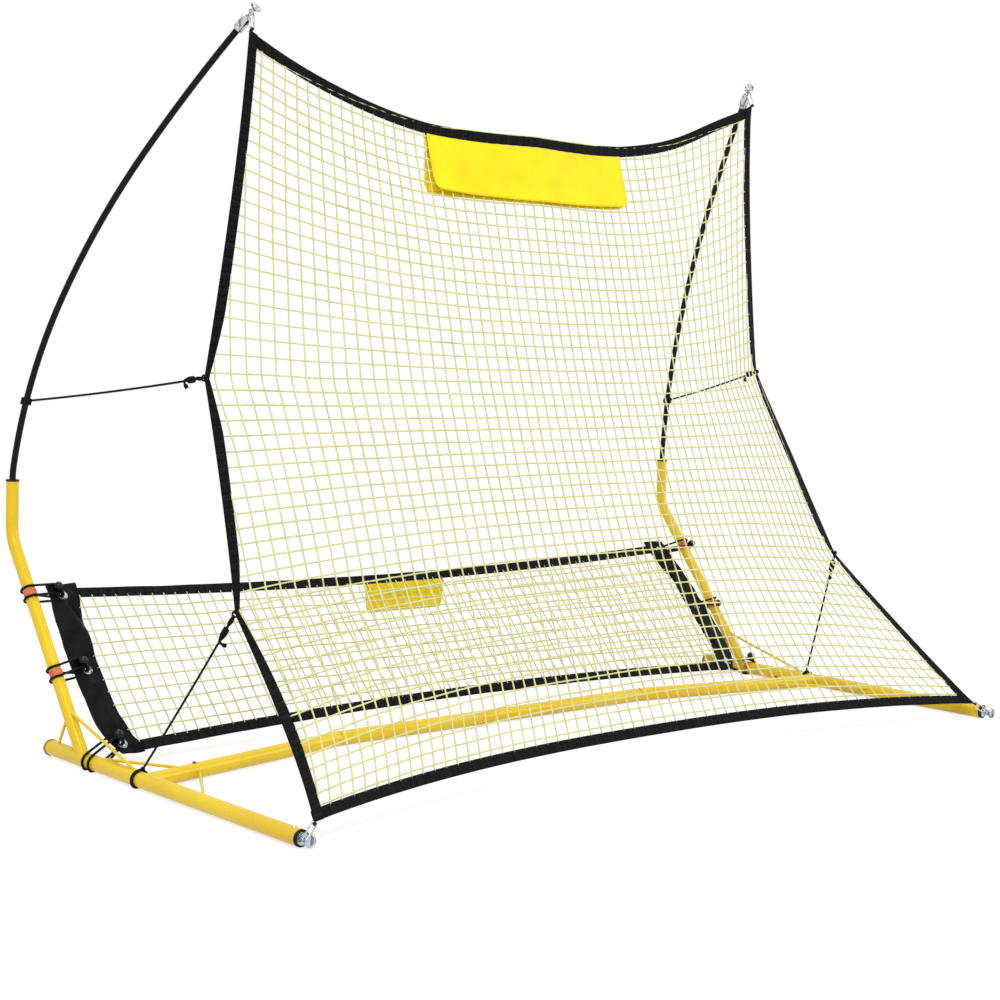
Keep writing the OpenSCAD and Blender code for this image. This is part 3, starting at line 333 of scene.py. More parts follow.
COAT = powder_coat()
CHROME = plated("bright_plating", paint(208, 210, 214), 0.1, paint(176, 180, 188))
ZINC = plated("satin_zinc", paint(196, 206, 218), 0.18, paint(160, 170, 184))
# the wire rings get only a faint painted reflection in their colour
WIRE = plated("ring_wire", paint(196, 194, 190), 0.2, paint(166, 164, 162), 0.2)
PLASTIC = moulded("black_plastic", paint(9, 9, 10), paint(20, 20, 22), 0.42)
BALL = moulded("ball_plastic", paint(6, 6, 7), paint(14, 14, 15), 0.25)
DARK_STEEL = moulded("dark_buttons", paint(70, 62, 44), paint(112, 100, 70), 0.35)
CAP = moulded("rear_cap_plastic", paint(150, 128, 42), paint(176, 150, 56), 0.45)
RED = moulded("red_rubber", paint(206, 92, 72), paint(226, 120, 98), 0.6)
POLE = fibreglass()
TAPE = webbing("binding_tape", paint(9, 9, 10), paint(22, 23, 25), 0.012)
STRING = netting()
ROPE = braid("pull_cord_braid", paint(8, 8, 9), paint(26, 26, 29), 0.006, 0.75)
ELASTIC = braid("elastic_braid", paint(6, 6, 7), paint(22, 22, 24), 0.0045, 0.6)
PANEL = plain_cloth("yellow_panel_cloth", paint(252, 219, 14), paint(242, 206, 9), paint(255, 226, 22), 0.5,
                    0.0011, (0.544, 0.12))
SMALL_PANEL = plain_cloth("small_panel_cloth", paint(246, 218, 6), paint(236, 206, 4), paint(252, 226, 10),
                          0.5, 0.0011, (0.23, 0.066))
COATED = plain_cloth("coated_black_cloth", paint(6, 6, 7), paint(4, 4, 5), paint(11, 11, 13), 0.32, 0.0009,
                     gloss=0.06)

# ------------------------------------------------------------ making meshes


def cross(a, b):
    return np.stack([a[..., 1] * b[..., 2] - a[..., 2] * b[..., 1],
                     a[..., 2] * b[..., 0] - a[..., 0] * b[..., 2],
                     a[..., 0] * b[..., 1] - a[..., 1] * b[..., 0]], -1)


def unit(a):
    return a / np.maximum(np.linalg.norm(a, axis=-1, keepdims=True), 1e-12)


def piece(name, points, faces, chart, finish, slot, stands_for=()):
    """A mesh from points in mm, its faces and a chart point for every corner, riding on the frame."""
    mesh = bpy.data.meshes.new(name)
    mesh.from_pydata((np.asarray(points) / 1000).tolist(), [], faces)
    corners = [chart[v] for face in faces for v in face] if isinstance(chart, list) else chart
    layer = mesh.uv_layers.new(name="laid_out")
    layer.data.foreach_set("uv", np.asarray(corners, np.float32).ravel())
    mesh.materials.append(finish)
    mesh.polygons.foreach_set("use_smooth", [True] * len(faces))
    mesh.validate()
    made = bpy.data.objects.new(name, mesh)
    scene.collection.objects.link(made)
    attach(made, "frame")
    if stands_for:
        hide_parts(*stands_for)
    return made


def in_place(points):
    """From behind or ahead of the lower pull cords to the frame's own middle."""
    return np.asarray(points, float) + np.array([0, SHIFT_Y, 0])


def tubes(runs, sides):
    """Closed round tubes. A run is (centres, radii, a direction that its first side faces, or None)."""
    points, faces, corners = [], [], []
    start = 0
    turns = np.arange(sides) / sides * 2 * math.pi
    for centres, radii, facing in runs:
        centres = np.asarray(centres, float)
        count = len(centres)
        ahead = unit(np.gradient(centres, axis=0))
        if facing is None:
            first = np.zeros_like(centres)
            seed = np.array([0.0, 0, 1]) if abs(ahead[0, 2]) < 0.9 else np.array([1.0, 0, 0])
            first[0] = unit(seed - (seed @ ahead[0]) * ahead[0])
            for i in range(1, count):
                v = first[i - 1] - (first[i - 1] @ ahead[i]) * ahead[i]
                first[i] = unit(v)
        else:
            facing = np.broadcast_to(np.asarray(facing, float), centres.shape)
            first = unit(facing - (facing * ahead).sum(-1, keepdims=True) * ahead)
        second = cross(ahead, first)
        radii = np.broadcast_to(np.asarray(radii, float), (count,))
        ring = centres[:, None] + radii[:, None, None] * (
            np.cos(turns)[None, :, None] * first[:, None] + np.sin(turns)[None, :, None] * second[:, None])
        points.append(ring.reshape(-1, 3))
        reach = np.concatenate([[0], np.cumsum(np.linalg.norm(np.diff(centres, axis=0), axis=1))]) / 1000
        for i in range(count - 1):
            a = start + i * sides
            for k in range(sides):
                n = (k + 1) % sides
                faces.append((a + k, a + n, a + sides + n, a + sides + k))
                u0, u1, v0, v1 = reach[i], reach[i + 1], k / sides, (k + 1) / sides
                corners += [(u0, v0), (u0, v1), (u1, v1), (u1, v0)]
        faces.append(tuple(range(start + sides - 1, start - 1, -1)))
        corners += [(reach[0], 0.5)] * sides
        last = start + (count - 1) * sides
        faces.append(tuple(range(last, last + sides)))
        corners += [(reach[-1], 0.5)] * sides
        start += count * sides
    return np.concatenate(points), faces, corners


def wobble(a, b, c=0.0, size=1.0):
    return noise.noise(Vector((a, b, c))) * size


# ------------------------------------------------------------ the rebound net's surface

# side edges from the top corner down, mm: (x, y, z); the left one hangs a little lower at its waists
EDGE = {
    1: [[693, 30, 1391], [703, 44, 1172], [771, 57, 772], [799, -63, 546], [834, -152, 347], [866, -399, 138],
        [910, -504, 37]],
    -1: [[705, 30, 1393], [712, 44, 1164], [778, 57, 746], [809, -63, 528], [840, -152, 331],
         [874, -399, 132], [913, -504, 37]],
}
WAISTS = [0, 6 / 14, 10 / 14, 1]
MIDDLE = [[0, 10, 1258], [0, -87, 655], [0, -396, 55]]
TAPE_W = 24.0
LOW_TAPE_W = 21.5
TAPE_T = 3.0
# about how long the net is from top to foot, mm, and the rounder value that its panels are hung by
NET_DOWN, NET_DOWN_AT_PANELS = 1400, 1230
PANEL_HALF = 272.0


def bend(a, m, b, t):
    t = t[..., None]
    return (1 - t) ** 2 * a + 2 * t * (1 - t) * m + t * t * b


def side_edge(v, hand):
    v = np.asarray(v, float)
    edge = np.array(EDGE[hand], float)
    out = np.zeros(v.shape + (3,))
    for k in range(3):
        here = (v >= WAISTS[k] - 1e-9) & (v <= WAISTS[k + 1] + 1e-9)
        t = np.clip((v - WAISTS[k]) / (WAISTS[k + 1] - WAISTS[k]), 0, 1)
        out[here] = bend(edge[2 * k], edge[2 * k + 1], edge[2 * k + 2], t)[here]
    return out


def half_width(v, hand=1):
    return side_edge(v, hand)[..., 0]


def net_at(x, v):
    """The net's middle surface at x across and v down, from 0 at the top edge to 1 at the bottom edge."""
    x, v = np.broadcast_arrays(np.asarray(x, float), np.asarray(v, float))
    right, left = side_edge(v, 1), side_edge(v, -1)
    e = np.where((x >= 0)[..., None], right, left)
    m = bend(*np.array(MIDDLE, float), v)
    u = np.clip(np.abs(x) / e[..., 0], 0, 1)
    w = u ** (2.7 - 0.3 * v)
    y = m[..., 1] + (e[..., 1] - m[..., 1]) * w
    z = m[..., 2] + (e[..., 2] - m[..., 2]) * w
    # the panel's stiffness draws the top edge straight between its ends
    near = np.minimum(np.abs(x) / PANEL_HALF, np.clip((690 - np.abs(x)) / (690 - PANEL_HALF), 0, 1))
    hold = near * np.exp(-(v / 0.13) ** 2)
    # it is pulled a little higher beside the panel
    beside = 12 * np.exp(-((x - 570) / 110) ** 2) + 2 * np.exp(-((x + 500) / 130) ** 2)
    uneven = beside * np.exp(-(v / 0.1) ** 2)
    return np.stack([x, y + 24 * hold, z - 5 * hold + uneven], -1)


def net_facing(x, v):
    """Direction out of the front of the net."""
    x, v = np.broadcast_arrays(np.asarray(x, float), np.asarray(v, float))
    h = 0.01
    down = net_at(x, np.clip(v + h, 0, 1)) - net_at(x, np.clip(v - h, 0, 1))
    g = 6.0
    over = net_at(x + g, v) - net_at(x - g, v)
    return unit(cross(down, over))


def gathered(v, hand=1):
    """Share of the tape's width that the side binding shows: least where it is drawn together."""
    v = np.asarray(v, float)
    upper, lower = WAISTS[1:3]
    if hand < 0:
        full = np.where(v < lower, 0.74, 0.98)
        reach = np.where(v < lower, 92.0, 170.0)
    else:
        full = np.where(v < upper, 0.9 + 0.52 * v / upper, np.where(v < lower, 1.46, 0.99))
        reach = np.where(v < upper, 40.0, 60.0)
    off = np.minimum(np.abs(v - upper), np.abs(v - lower)) * NET_DOWN
    t = np.clip(off / reach, 0, 1)
    return 0.34 + (full - 0.34) * (1 - (1 - t) ** 1.3)


COLUMNS = 40


def column_x(k, v):
    """Place across of down-string k: the strings stand a little further apart towards the ground."""
    return k * (26.0 + 0.5 * v + 3.6 * v ** 6)


ROWS = 53


def row_v(m, u):
    """Place down of across-string m, counted from the bottom edge."""
    side = 1 - 0.019 * (m + 0.35)
    middle = np.where(m < 29, 1 - 0.0189 * (m + 0.35), 0.4453 - 0.02036 * (m - 29))
    return middle + (side - middle) * np.abs(u) ** 1.6


def slack(k, m):
    """Every knot sits a little off its place."""
    return np.array([wobble(k * 0.31, m * 0.23, 3.7, 3.0) + wobble(k * 1.7, m * 1.9, 9.1, 1.2),
                     wobble(k * 0.27, m * 0.35, 7.3, 3.0) + wobble(k * 1.3, m * 2.1, 5.5, 1.2)])


def knots():
    """Every crossing of the strings: (column, row) to mm across and the share down."""
    found = {}
    for k in range(-COLUMNS, COLUMNS + 1):
        for m in range(ROWS + 2):
            v = float(row_v(np.array(m), 0.0))
            for _ in range(4):
                x = column_x(k, min(max(v, 0.0), 1.0))
                u = min(abs(x) / float(half_width(np.array(min(max(v, 0.0), 1.0)), 1 if k > 0 else -1)), 1.0)
                v = float(row_v(np.array(m), u))
            dx, dv = slack(k, m)
            x, v = column_x(k, min(max(v, 0.0), 1.0)) + dx * 0.5, v + dv * 0.5 / NET_DOWN
            found[k, m] = (x, v)
    return found


def hem(v0, v1, x, wide):
    """How far down the net a tape of this width reaches from its edge at v0 towards v1, as shares."""
    edge = net_at(x, np.full_like(x, v0))
    drop = np.full_like(x, 0.02 * (v1 - v0))
    for _ in range(3):
        drop = drop * wide / np.linalg.norm(net_at(x, v0 + drop) - edge, axis=1)
    return drop


def net_strings():
    places = knots()
    across = np.linspace(-920, 920, 93)
    inner_top = np.abs(hem(0.0, 1.0, across, TAPE_W)) * 0.9
    inner_low = 1 - np.abs(hem(1.0, 0.0, across, LOW_TAPE_W)) * 0.9
    down, over = [], []

    def covered(x, v):
        edge = half_width(np.array(min(max(v, 0), 1)), 1 if x > 0 else -1)
        return abs(x) > float(edge - TAPE_W * gathered(np.array(v), 1 if x > 0 else -1)) + 2.5

    def clear(x, v):
        return np.interp(x, across, inner_top) < v < np.interp(x, across, inner_low) and not covered(x, v)

    def run(line):
        """Keeps the stretch of the line that lies inside the bindings, ends on their inner edges."""
        kept = []
        for (x0, v0), (x1, v1) in zip(line, line[1:]):
            for t in (0.0, 0.5):
                kept.append((x0 + (x1 - x0) * t, v0 + (v1 - v0) * t, 1.28 if t == 0 else 1.0))
        kept.append((*line[-1], 1.28))
        inside = [clear(x, v) for x, v, _ in kept]
        if sum(inside) < 2:
            return None
        first, last = inside.index(True), len(inside) - 1 - inside[::-1].index(True)
        out = kept[first:last + 1]
        for end, beyond in ((0, first - 1), (-1, last + 1)):
            if 0 <= beyond < len(kept):
                a, b = out[end], kept[beyond]
                low, high = 0.0, 1.0
                for _ in range(12):
                    t = (low + high) / 2
                    x, v = a[0] + (b[0] - a[0]) * t, a[1] + (b[1] - a[1]) * t
                    if clear(x, v):
                        low = t
                    else:
                        high = t
                tip = (a[0] + (b[0] - a[0]) * high, a[1] + (b[1] - a[1]) * high, 1.0)
                out = [tip] + out if end == 0 else out + [tip]
        return out

    def laid(line):
        line = np.array(line)
        x, v = line[:, 0], np.clip(line[:, 1], 0, 1)
        return in_place(net_at(x, v)), line[:, 2] * STRING_R, net_facing(x, v)

    for k in range(-COLUMNS, COLUMNS + 1):
        kept = run([places[k, m] for m in range(ROWS + 2)])
        if kept:
            down.append(laid(kept))
    for m in range(ROWS + 2):
        kept = run([places[k, m] for k in range(-COLUMNS, COLUMNS + 1)])
        if kept:
            over.append(laid(kept))
    piece("net_down_strings", *tubes(down, 6), STRING, "net_cord", ["rebound_net"])
    piece("net_across_strings", *tubes(over, 6), STRING, "net_cord")


STRING_R = 1.4
net_strings()

# ------------------------------------------------------------ bindings

# across the tape from its outer fold to its inner edge: (place, half thickness as a share)
TAPE_PROFILE = [(0.0, 0.0), (0.015, 0.55), (0.06, 0.9), (0.16, 1.0), (0.34, 0.96), (0.47, 0.9), (0.53, 0.72),
                (0.59, 0.9), (0.74, 0.95), (0.8, 0.8), (0.86, 0.84), (0.95, 0.8), (0.99, 0.5), (1.0, 0.0)]


def tape(outer, inner, facing, thick):
    """A folded tape laid between two lines of points."""
    outer, inner = np.asarray(outer, float), np.asarray(inner, float)
    places = TAPE_PROFILE + [(w, -s) for w, s in TAPE_PROFILE[-2:0:-1]]
    count, sides = len(outer), len(places)
    thick = np.broadcast_to(np.asarray(thick, float), (count,))
    steps = np.diff((outer + inner) / 2, axis=0)
    reach = np.concatenate([[0], np.cumsum(np.linalg.norm(steps, axis=1))]) / 1000
    points = []
    for i in range(count):
        for w, s in places:
            points.append(outer[i] + w * (inner[i] - outer[i]) + s * thick[i] / 2 * facing[i])
    faces, corners = [], []
    for i in range(count - 1):
        for k in range(sides):
            n = (k + 1) % sides
            faces.append((i * sides + k, i * sides + n, (i + 1) * sides + n, (i + 1) * sides + k))
            w0, w1 = places[k][0] * TAPE_W / 1000, places[n][0] * TAPE_W / 1000
            corners += [(reach[i], w0), (reach[i], w1), (reach[i + 1], w1), (reach[i + 1], w0)]
    faces.append(tuple(range(sides - 1, -1, -1)))
    corners += [(reach[0], places[k][0] * TAPE_W / 1000) for k in range(sides - 1, -1, -1)]
    last = (count - 1) * sides
    faces.append(tuple(range(last, last + sides)))
    corners += [(reach[-1], places[k][0] * TAPE_W / 1000) for k in range(sides)]
    return np.array(points), faces, corners


def select_only(made):
    bpy.ops.object.select_all(action="DESELECT")
    made.select_set(True)
    bpy.context.view_layer.objects.active = made


def outward(made):
    """Turns every face outwards."""
    select_only(made)
    bpy.ops.object.mode_set(mode="EDIT")
    bpy.ops.mesh.select_all(action="SELECT")
    bpy.ops.mesh.normals_make_consistent(inside=False)
    bpy.ops.object.mode_set(mode="OBJECT")
    made.select_set(False)
    return made


def taped(name, outer, inner, facing, thick, node):
    """A folded tape between two lines of the net's points, in place of its solid."""
    mesh = tape(in_place(outer), in_place(inner), facing, thick)
    return outward(piece(name, *mesh, TAPE, "black_webbing", [node]))


def side_binding(hand, name, node):
    v = np.linspace(0.0, 1.0, 241)
    edge = side_edge(v, hand)
    x = hand * edge[:, 0]
    ripple = np.array([wobble(q * 9.0, hand * 2.0, 1.0, 1.6) for q in v])
    share = gathered(v, hand)
    wide = TAPE_W * share * (1 + np.array([wobble(q * 14.0, hand * 3.0, 4.0, 0.05) for q in v]))
    outer = net_at(x, v)
    inner = net_at(x - hand * wide, v)
    facing = net_facing(x - hand * 8, v)
    over = (np.exp(-(v / 0.02) ** 2) + np.exp(-((1 - v) / 0.02) ** 2)) * TAPE_T * 0.5
    outer = outer + facing * (ripple * 0.5 + over)[:, None]
    inner = inner + facing * (ripple * 0.2 + over)[:, None]
    thick = TAPE_T * (1 + 1.3 * np.clip(0.9 - share, 0, 1))
    return taped(name, outer, inner, facing, thick, node)


def cross_binding(v0, v1, wide, name, node):
    """Cut square, its ends under the side bindings."""
    u = np.linspace(-1, 1, 201)
    corner = [side_edge(np.array(float(v0)), hand)[0] for hand in (-1, 1)]
    x = np.where(u < 0, u * corner[0], u * corner[1]) * 0.998
    drop = hem(v0, v1, x, wide)
    set_in = drop * 0.5 * max(0.0, 1 - wide / TAPE_W)
    held_in = [side_edge(np.clip(v0 + set_in + drop, 0, 1), hand)[:, 0] for hand in (-1, 1)]
    outer, inner = net_at(x, v0 + set_in), net_at(np.clip(x, -held_in[0], held_in[1]), v0 + set_in + drop)
    facing = net_facing(x, v0 + drop / 2)
    ripple = np.array([wobble(q * 11.0, v0 * 5.0, 2.0, 1.6) for q in u])
    under = np.exp(-((1 - np.abs(u)) / 0.03) ** 2) * TAPE_T * 0.55
    outer = outer + facing * (ripple * 0.5 - under)[:, None]
    inner = inner - facing * under[:, None]
    return taped(name, outer, inner, facing, TAPE_T, node)


side_binding(1, "binding_right", "net_binding_right")
side_binding(-1, "binding_left", "net_binding_left")
cross_binding(0.0, 1.0, TAPE_W, "binding_top", "net_binding_top")
cross_binding(1.0, 0.0, LOW_TAPE_W, "binding_bottom", "net_binding_bottom")

# ------------------------------------------------------------ yellow panels


def sheet_of(name, rows, chart, finish, slot, stands_for, thick=0.7):
    """A sheet from rows of points, given its thickness."""
    rows = np.asarray(rows, float)
    count, width = rows.shape[:2]
    faces = [(i * width + j, i * width + j + 1, (i + 1) * width + j + 1, (i + 1) * width + j)
             for i in range(count - 1) for j in range(width - 1)]
    marks = [tuple(c) for c in np.asarray(chart).reshape(-1, 2)]
    made = piece(name, rows.reshape(-1, 3), faces, marks, finish, slot, stands_for)
    body = made.modifiers.new("cloth", "SOLIDIFY")
    body.thickness = thick / 1000
    body.offset = 0
    select_only(made)
    bpy.ops.object.modifier_apply(modifier="cloth")
    made.select_set(False)
    return made


def rounded_outline(x, depth, half, tall, corner):
    """Keeps a panel's lower corners round: the depth at x, and how far the sheet reaches."""
    inside = half - corner
    over = max(0.0, abs(x) - inside)
    return min(depth, tall - corner + math.sqrt(max(0.0, corner ** 2 - over ** 2)))


def net_panel(name, middle, start, half, tall, corner, lift, sag, node, finish):
    """A panel sewn under the top binding, hanging against the net."""
    columns, lines = 96, 26
    rows, chart = [], []
    for j in range(lines + 1):
        row, marks = [], []
        for i in range(columns + 1):
            x = half * (-1 + 2 * i / columns)
            depth = tall * j / lines
            depth = rounded_outline(x, depth, half, tall, corner)
            v = (start + depth) / NET_DOWN_AT_PANELS
            ripple = wobble(x * 0.012, depth * 0.02, lift * 0.3, 2.2) * depth / tall
            off = lift + ripple + sag(x, depth / tall)
            row.append(net_at(x + middle, v) + net_facing(x + middle, v) * off)
            marks.append(((x + half) / 1000, depth / 1000))
        rows.append(in_place(np.array(row)))
        chart.append(marks)
    return sheet_of(name, rows, chart, finish, "yellow_sheet", [node])


front = net_panel("yellow_panel_front", -8, TAPE_W, PANEL_HALF, 116, 16, 2.6, lambda x, t: 3.0 * t * t,
                  "front_panel", PANEL)
back = net_panel("yellow_panel_back", -8, TAPE_W - 3, PANEL_HALF, 121, 20, -2.6,
                 lambda x, t: -5 * t - 26 * t ** 1.3 * max(0.0, -x / PANEL_HALF) ** 5, "back_panel", PANEL)

# ------------------------------------------------------------ catch net

SLOPE = math.radians(46.6)
CATCH_TOP_Y, CATCH_TOP_Z = 462.0, 312.0
CATCH_OUT = np.array([0, -math.sin(SLOPE), math.cos(SLOPE)])
CATCH_EDGE = 821.7


def on_catch(x, s, lift=0.0):
    """A point of the catch net: x across, s down its slope, lift out of its front."""
    x, s, lift = np.broadcast_arrays(*[np.asarray(q, float) for q in (x, s, lift)])
    return np.stack([x, CATCH_TOP_Y - s * math.cos(SLOPE) + lift * CATCH_OUT[1],
                     CATCH_TOP_Z - s * math.sin(SLOPE) + lift * CATCH_OUT[2]], -1)


def catch_top(x):
    return 28 - 26 * (x / 842) ** 2


def catch_bottom(x):
    return 374 + 25 * (x / 842) ** 2


# outer and inner edges of the end panels: (down the slope, across)
END_OUTER = [(-9, 889), (41, 893), (90, 898), (140, 902), (200, 905), (260, 903), (330, 901), (353, 895),
             (377, 885), (400, 870)]
END_INNER = [(-9, 822), (22, 822), (46, 829), (96, 838), (160, 844), (240, 845), (313, 844), (361, 833),
             (387, 821), (400, 821)]
GROMMETS = [(861, 20), (873, 203), (863, 378)]
GROMMET_BORE = 8.6


def catch_strings():
    """A net of their own pitch, its ends under the tapes and under the end panels."""
    pitch = 27.5
    down, over = [], []
    facing = CATCH_OUT
    columns = int(max(across for _, across in END_INNER) // pitch)
    lines = 12

    def reach(s):
        return float(np.interp(s, *zip(*END_INNER))) + 4

    def ends(x):
        return catch_top(x) + TAPE_W * 0.8, catch_bottom(x) - TAPE_W * 0.8

    for k in range(-columns, columns + 1):
        line = []
        for j in range(2 * lines + 1):
            t = j / 2 / lines
            x = k * pitch + wobble(k * 0.3, t * 5, 2.2, 3.0)
            a, b = ends(x)
            if abs(x) < reach(a + (b - a) * t):
                line.append((x, a + (b - a) * t, 1.28 if j % 2 == 0 else 1.0))
        line = np.array(line)
        down.append((in_place(on_catch(line[:, 0], line[:, 1])), line[:, 2] * STRING_R, facing))
    for m in range(1, lines):
        line = []
        for k in range(-2 * columns - 1, 2 * columns + 2):
            x = k * pitch / 2
            t = m / lines
            a, b = ends(x)
            s = a + (b - a) * t + wobble(x * 0.009, m * 0.7, 4.4, 4.0)
            if abs(x) < reach(s):
                line.append((x, s, 1.28 if k % 2 == 0 else 1.0))
        for end, way in ((0, -1), (-1, 1)):
            tip = (way * reach(line[end][1]), line[end][1], 1.0)
            line = [tip] + line if end == 0 else line + [tip]
        line = np.array(line)
        over.append((in_place(on_catch(line[:, 0], line[:, 1])), line[:, 2] * STRING_R, facing))
    piece("catch_net_strings", *tubes(down + over, 6), STRING, "net_cord", ["catch_net"])


def catch_binding(line, inward, name, node):
    x = np.linspace(-CATCH_EDGE - 6, CATCH_EDGE + 6, 161)
    s = line(x)
    ripple = np.array([wobble(q * 0.012, inward * 2.0, 6.0, 1.8) for q in x])
    outer = on_catch(x, s, ripple)
    inner = on_catch(x, s + inward * TAPE_W, ripple * 0.3)
    facing = np.broadcast_to(CATCH_OUT, outer.shape)
    taped(name, outer, inner, facing, TAPE_T, node)


catch_strings()
catch_binding(catch_top, 1, "catch_tape_top", "catch_binding_top")
catch_binding(catch_bottom, -1, "catch_tape_bottom", "catch_binding_bottom")


def end_panel(hand, name, node):
    """Coated cloth, creased where the cords pull it, cut out at its rings."""
    lines, columns = 150, 26
    s_all = np.linspace(-9, 400, lines + 1)
    outer = np.interp(s_all, *zip(*END_OUTER))
    inner = np.interp(s_all, *zip(*END_INNER))
    rows, chart = [], []
    for s, a, b in zip(s_all, inner, outer):
        row, marks = [], []
        for j in range(columns + 1):
            t = j / columns
            x = a + (b - a) * t
            lift = 0.0
            # a broad fold runs from the top ring down to the inner edge, and a low swell below it
            fold = (x - 866) + (s - 20) * 0.20
            lift += 6.0 * math.exp(-(fold / 10.0) ** 2) * math.exp(-((s - 84) / 62.0) ** 2)
            lift -= 3.5 * math.exp(-((fold + 17) / 9.0) ** 2) * math.exp(-((s - 96) / 60.0) ** 2)
            swell = (x - 862) - (s - 290) * 0.12
            lift += 3.0 * math.exp(-(swell / 12.0) ** 2) * math.exp(-((s - 290) / 62.0) ** 2)
            for g, gs in GROMMETS:
                far = math.hypot(x - g, s - gs)
                pull = math.exp(-(far / 40.0) ** 2) * min(1.0, far / 16.0)
                lift += pull * 1.5 * math.sin(4 * math.atan2(s - gs, x - g) + 1.0)
            calm = min(1.0, max(0.0, min(math.hypot(x - g, s - gs) for g, gs in GROMMETS) - 9.0) / 24.0)
            lift += wobble(x * 0.022, s * 0.02, hand * 3.0, 5.0) + wobble(x * 0.05, s * 0.05, hand * 5.0, 1.5)
            row.append(on_catch(hand * x, s, lift * calm))
            marks.append((x / 1000, s / 1000))
        rows.append(in_place(np.array(row)))
        chart.append(marks)
    made = sheet_of(name, rows, chart, COATED, "black_sheet", [node], thick=1.6)
    for g, gs in GROMMETS:
        bpy.ops.object.select_all(action="DESELECT")
        place = in_place(on_catch(hand * g, gs)) / 1000
        bpy.ops.mesh.primitive_cylinder_add(vertices=40, radius=GROMMET_BORE / 1000, depth=0.03,
                                            location=place, rotation=(SLOPE, 0, 0))
        punch = bpy.context.active_object
        hole = made.modifiers.new("hole", "BOOLEAN")
        hole.operation, hole.object, hole.solver = "DIFFERENCE", punch, "EXACT"
        select_only(made)
        bpy.ops.object.modifier_apply(modifier="hole")
        bpy.data.objects.remove(punch, do_unlink=True)
    made.select_set(False)
    return made


end_left = end_panel(-1, "end_panel_left", "catch_end_left")
end_right = end_panel(1, "end_panel_right", "catch_end_right")


def small_panel():
    """Sewn under the catch net's top tape; its lower edge curls."""
    half, tall, corner = 115.0, 66.0, 10.0
    top = on_catch(0, 28 + TAPE_W)
    rows, chart = [], []
    for j in range(17):
        row, marks = [], []
        for i in range(45):
            x = half * (-1 + 2 * i / 44)
            depth = rounded_outline(x, tall * j / 16, half, tall, corner)
            ripple = wobble(x * 0.016, depth * 0.03, 8.0, 5.0) * depth / tall
            rise = catch_top(x) - 28
            row.append((x * (1 - 0.05 * depth / tall), top[1] + 1.0 + ripple - rise * math.cos(SLOPE),
                        top[2] - 1.8 / math.cos(SLOPE) - depth + 2 - rise * math.sin(SLOPE)))
            marks.append(((x + half) / 1000, depth / 1000))
        rows.append(in_place(np.array(row)))
        chart.append(marks)
    return sheet_of("yellow_panel_small", rows, chart, SMALL_PANEL, "yellow_sheet", ["catch_panel"])


small = small_panel()

# ------------------------------------------------------------ ball cords

UPRIGHT_WAY = np.array([-math.cos(LEAN) * math.sin(SPLAY), math.sin(LEAN), math.cos(LEAN) * math.cos(SPLAY)])
FOOT = np.array([HALF_SPAN, FOOT_Y, AXIS_Z])
CORD_D = 5.0
BEND = 10.4
TURN_GAP = 22.0
BALL_D = 19.0
BALL_TURN = [185.0, 200.0, 90.0]
BALL_SHIFT = [0.0, 6.0, 0.0]
OVER_BAND = 0.1 + 0.8 + 0.3 + CORD_D / 2


def rounded_line(marks):
    """Straight runs joined by arcs; a mark is (point, radius)."""
    points = [np.asarray(p, float) for p, _ in marks]
    runs = [np.linalg.norm(b - a) for a, b in zip(points, points[1:])]
    halves, reach = [0.0] * len(points), [0.0] * len(points)
    for i in range(1, len(points) - 1):
        u, w = unit(points[i - 1] - points[i]), unit(points[i + 1] - points[i])
        halves[i] = math.acos(max(-1.0, min(1.0, float(u @ w)))) / 2
        if halves[i] < math.pi / 2 - 0.004:
            reach[i] = marks[i][1] / math.tan(halves[i])
    for i, run in enumerate(runs):
        both = reach[i] + reach[i + 1]
        if both > 0.995 * run:
            reach[i], reach[i + 1] = reach[i] * 0.995 * run / both, reach[i + 1] * 0.995 * run / both
    out = [points[0]]
    for i in range(1, len(points) - 1):
        if reach[i] < 0.01:
            out.append(points[i])
            continue
        u, w = unit(points[i - 1] - points[i]), unit(points[i + 1] - points[i])
        true = reach[i] * math.tan(halves[i])
        centre = points[i] + unit(u + w) * (true / math.sin(halves[i]))
        first, last = points[i] + u * reach[i] - centre, points[i] + w * reach[i] - centre
        turn = math.pi - 2 * halves[i]
        steps = max(2, int(math.ceil(turn / math.radians(9))))
        for j in range(steps + 1):
            t = j / steps
            between = math.sin((1 - t) * turn) * first + math.sin(t * turn) * last
            out.append(centre + between / math.sin(turn))
    out.append(points[-1])
    return np.array(out)


def evenly(points, step):
    far = np.concatenate([[0], np.cumsum(np.linalg.norm(np.diff(points, axis=0), axis=1))])
    at = np.linspace(0, far[-1], max(8, int(far[-1] / step)))
    return np.stack([np.interp(at, far, points[:, k]) for k in range(3)], -1)


def ring_marks(radius, start, stop, lift):
    """Corners round a tube from one angle to another, with the lift along the tube at both ends."""
    steps = max(2, int(math.ceil(abs(stop - start) / 22.0)))
    corner = radius / math.cos(math.radians(abs(stop - start) / steps / 2))
    marks = []
    for i in range(steps):
        angle = math.radians(start + (stop - start) * (i + 0.5) / steps)
        t = (i + 0.5) / steps
        marks.append((np.array([corner * math.cos(angle), corner * math.sin(angle),
                                lift[0] + (lift[1] - lift[0]) * t]), radius))
    return marks


def leaving(point, ring, way):
    """Angle at which a straight run from the point touches the ring."""
    toward = math.degrees(math.atan2(point[1], point[0]))
    return toward + way * math.degrees(math.acos(ring / math.hypot(point[0], point[1])))


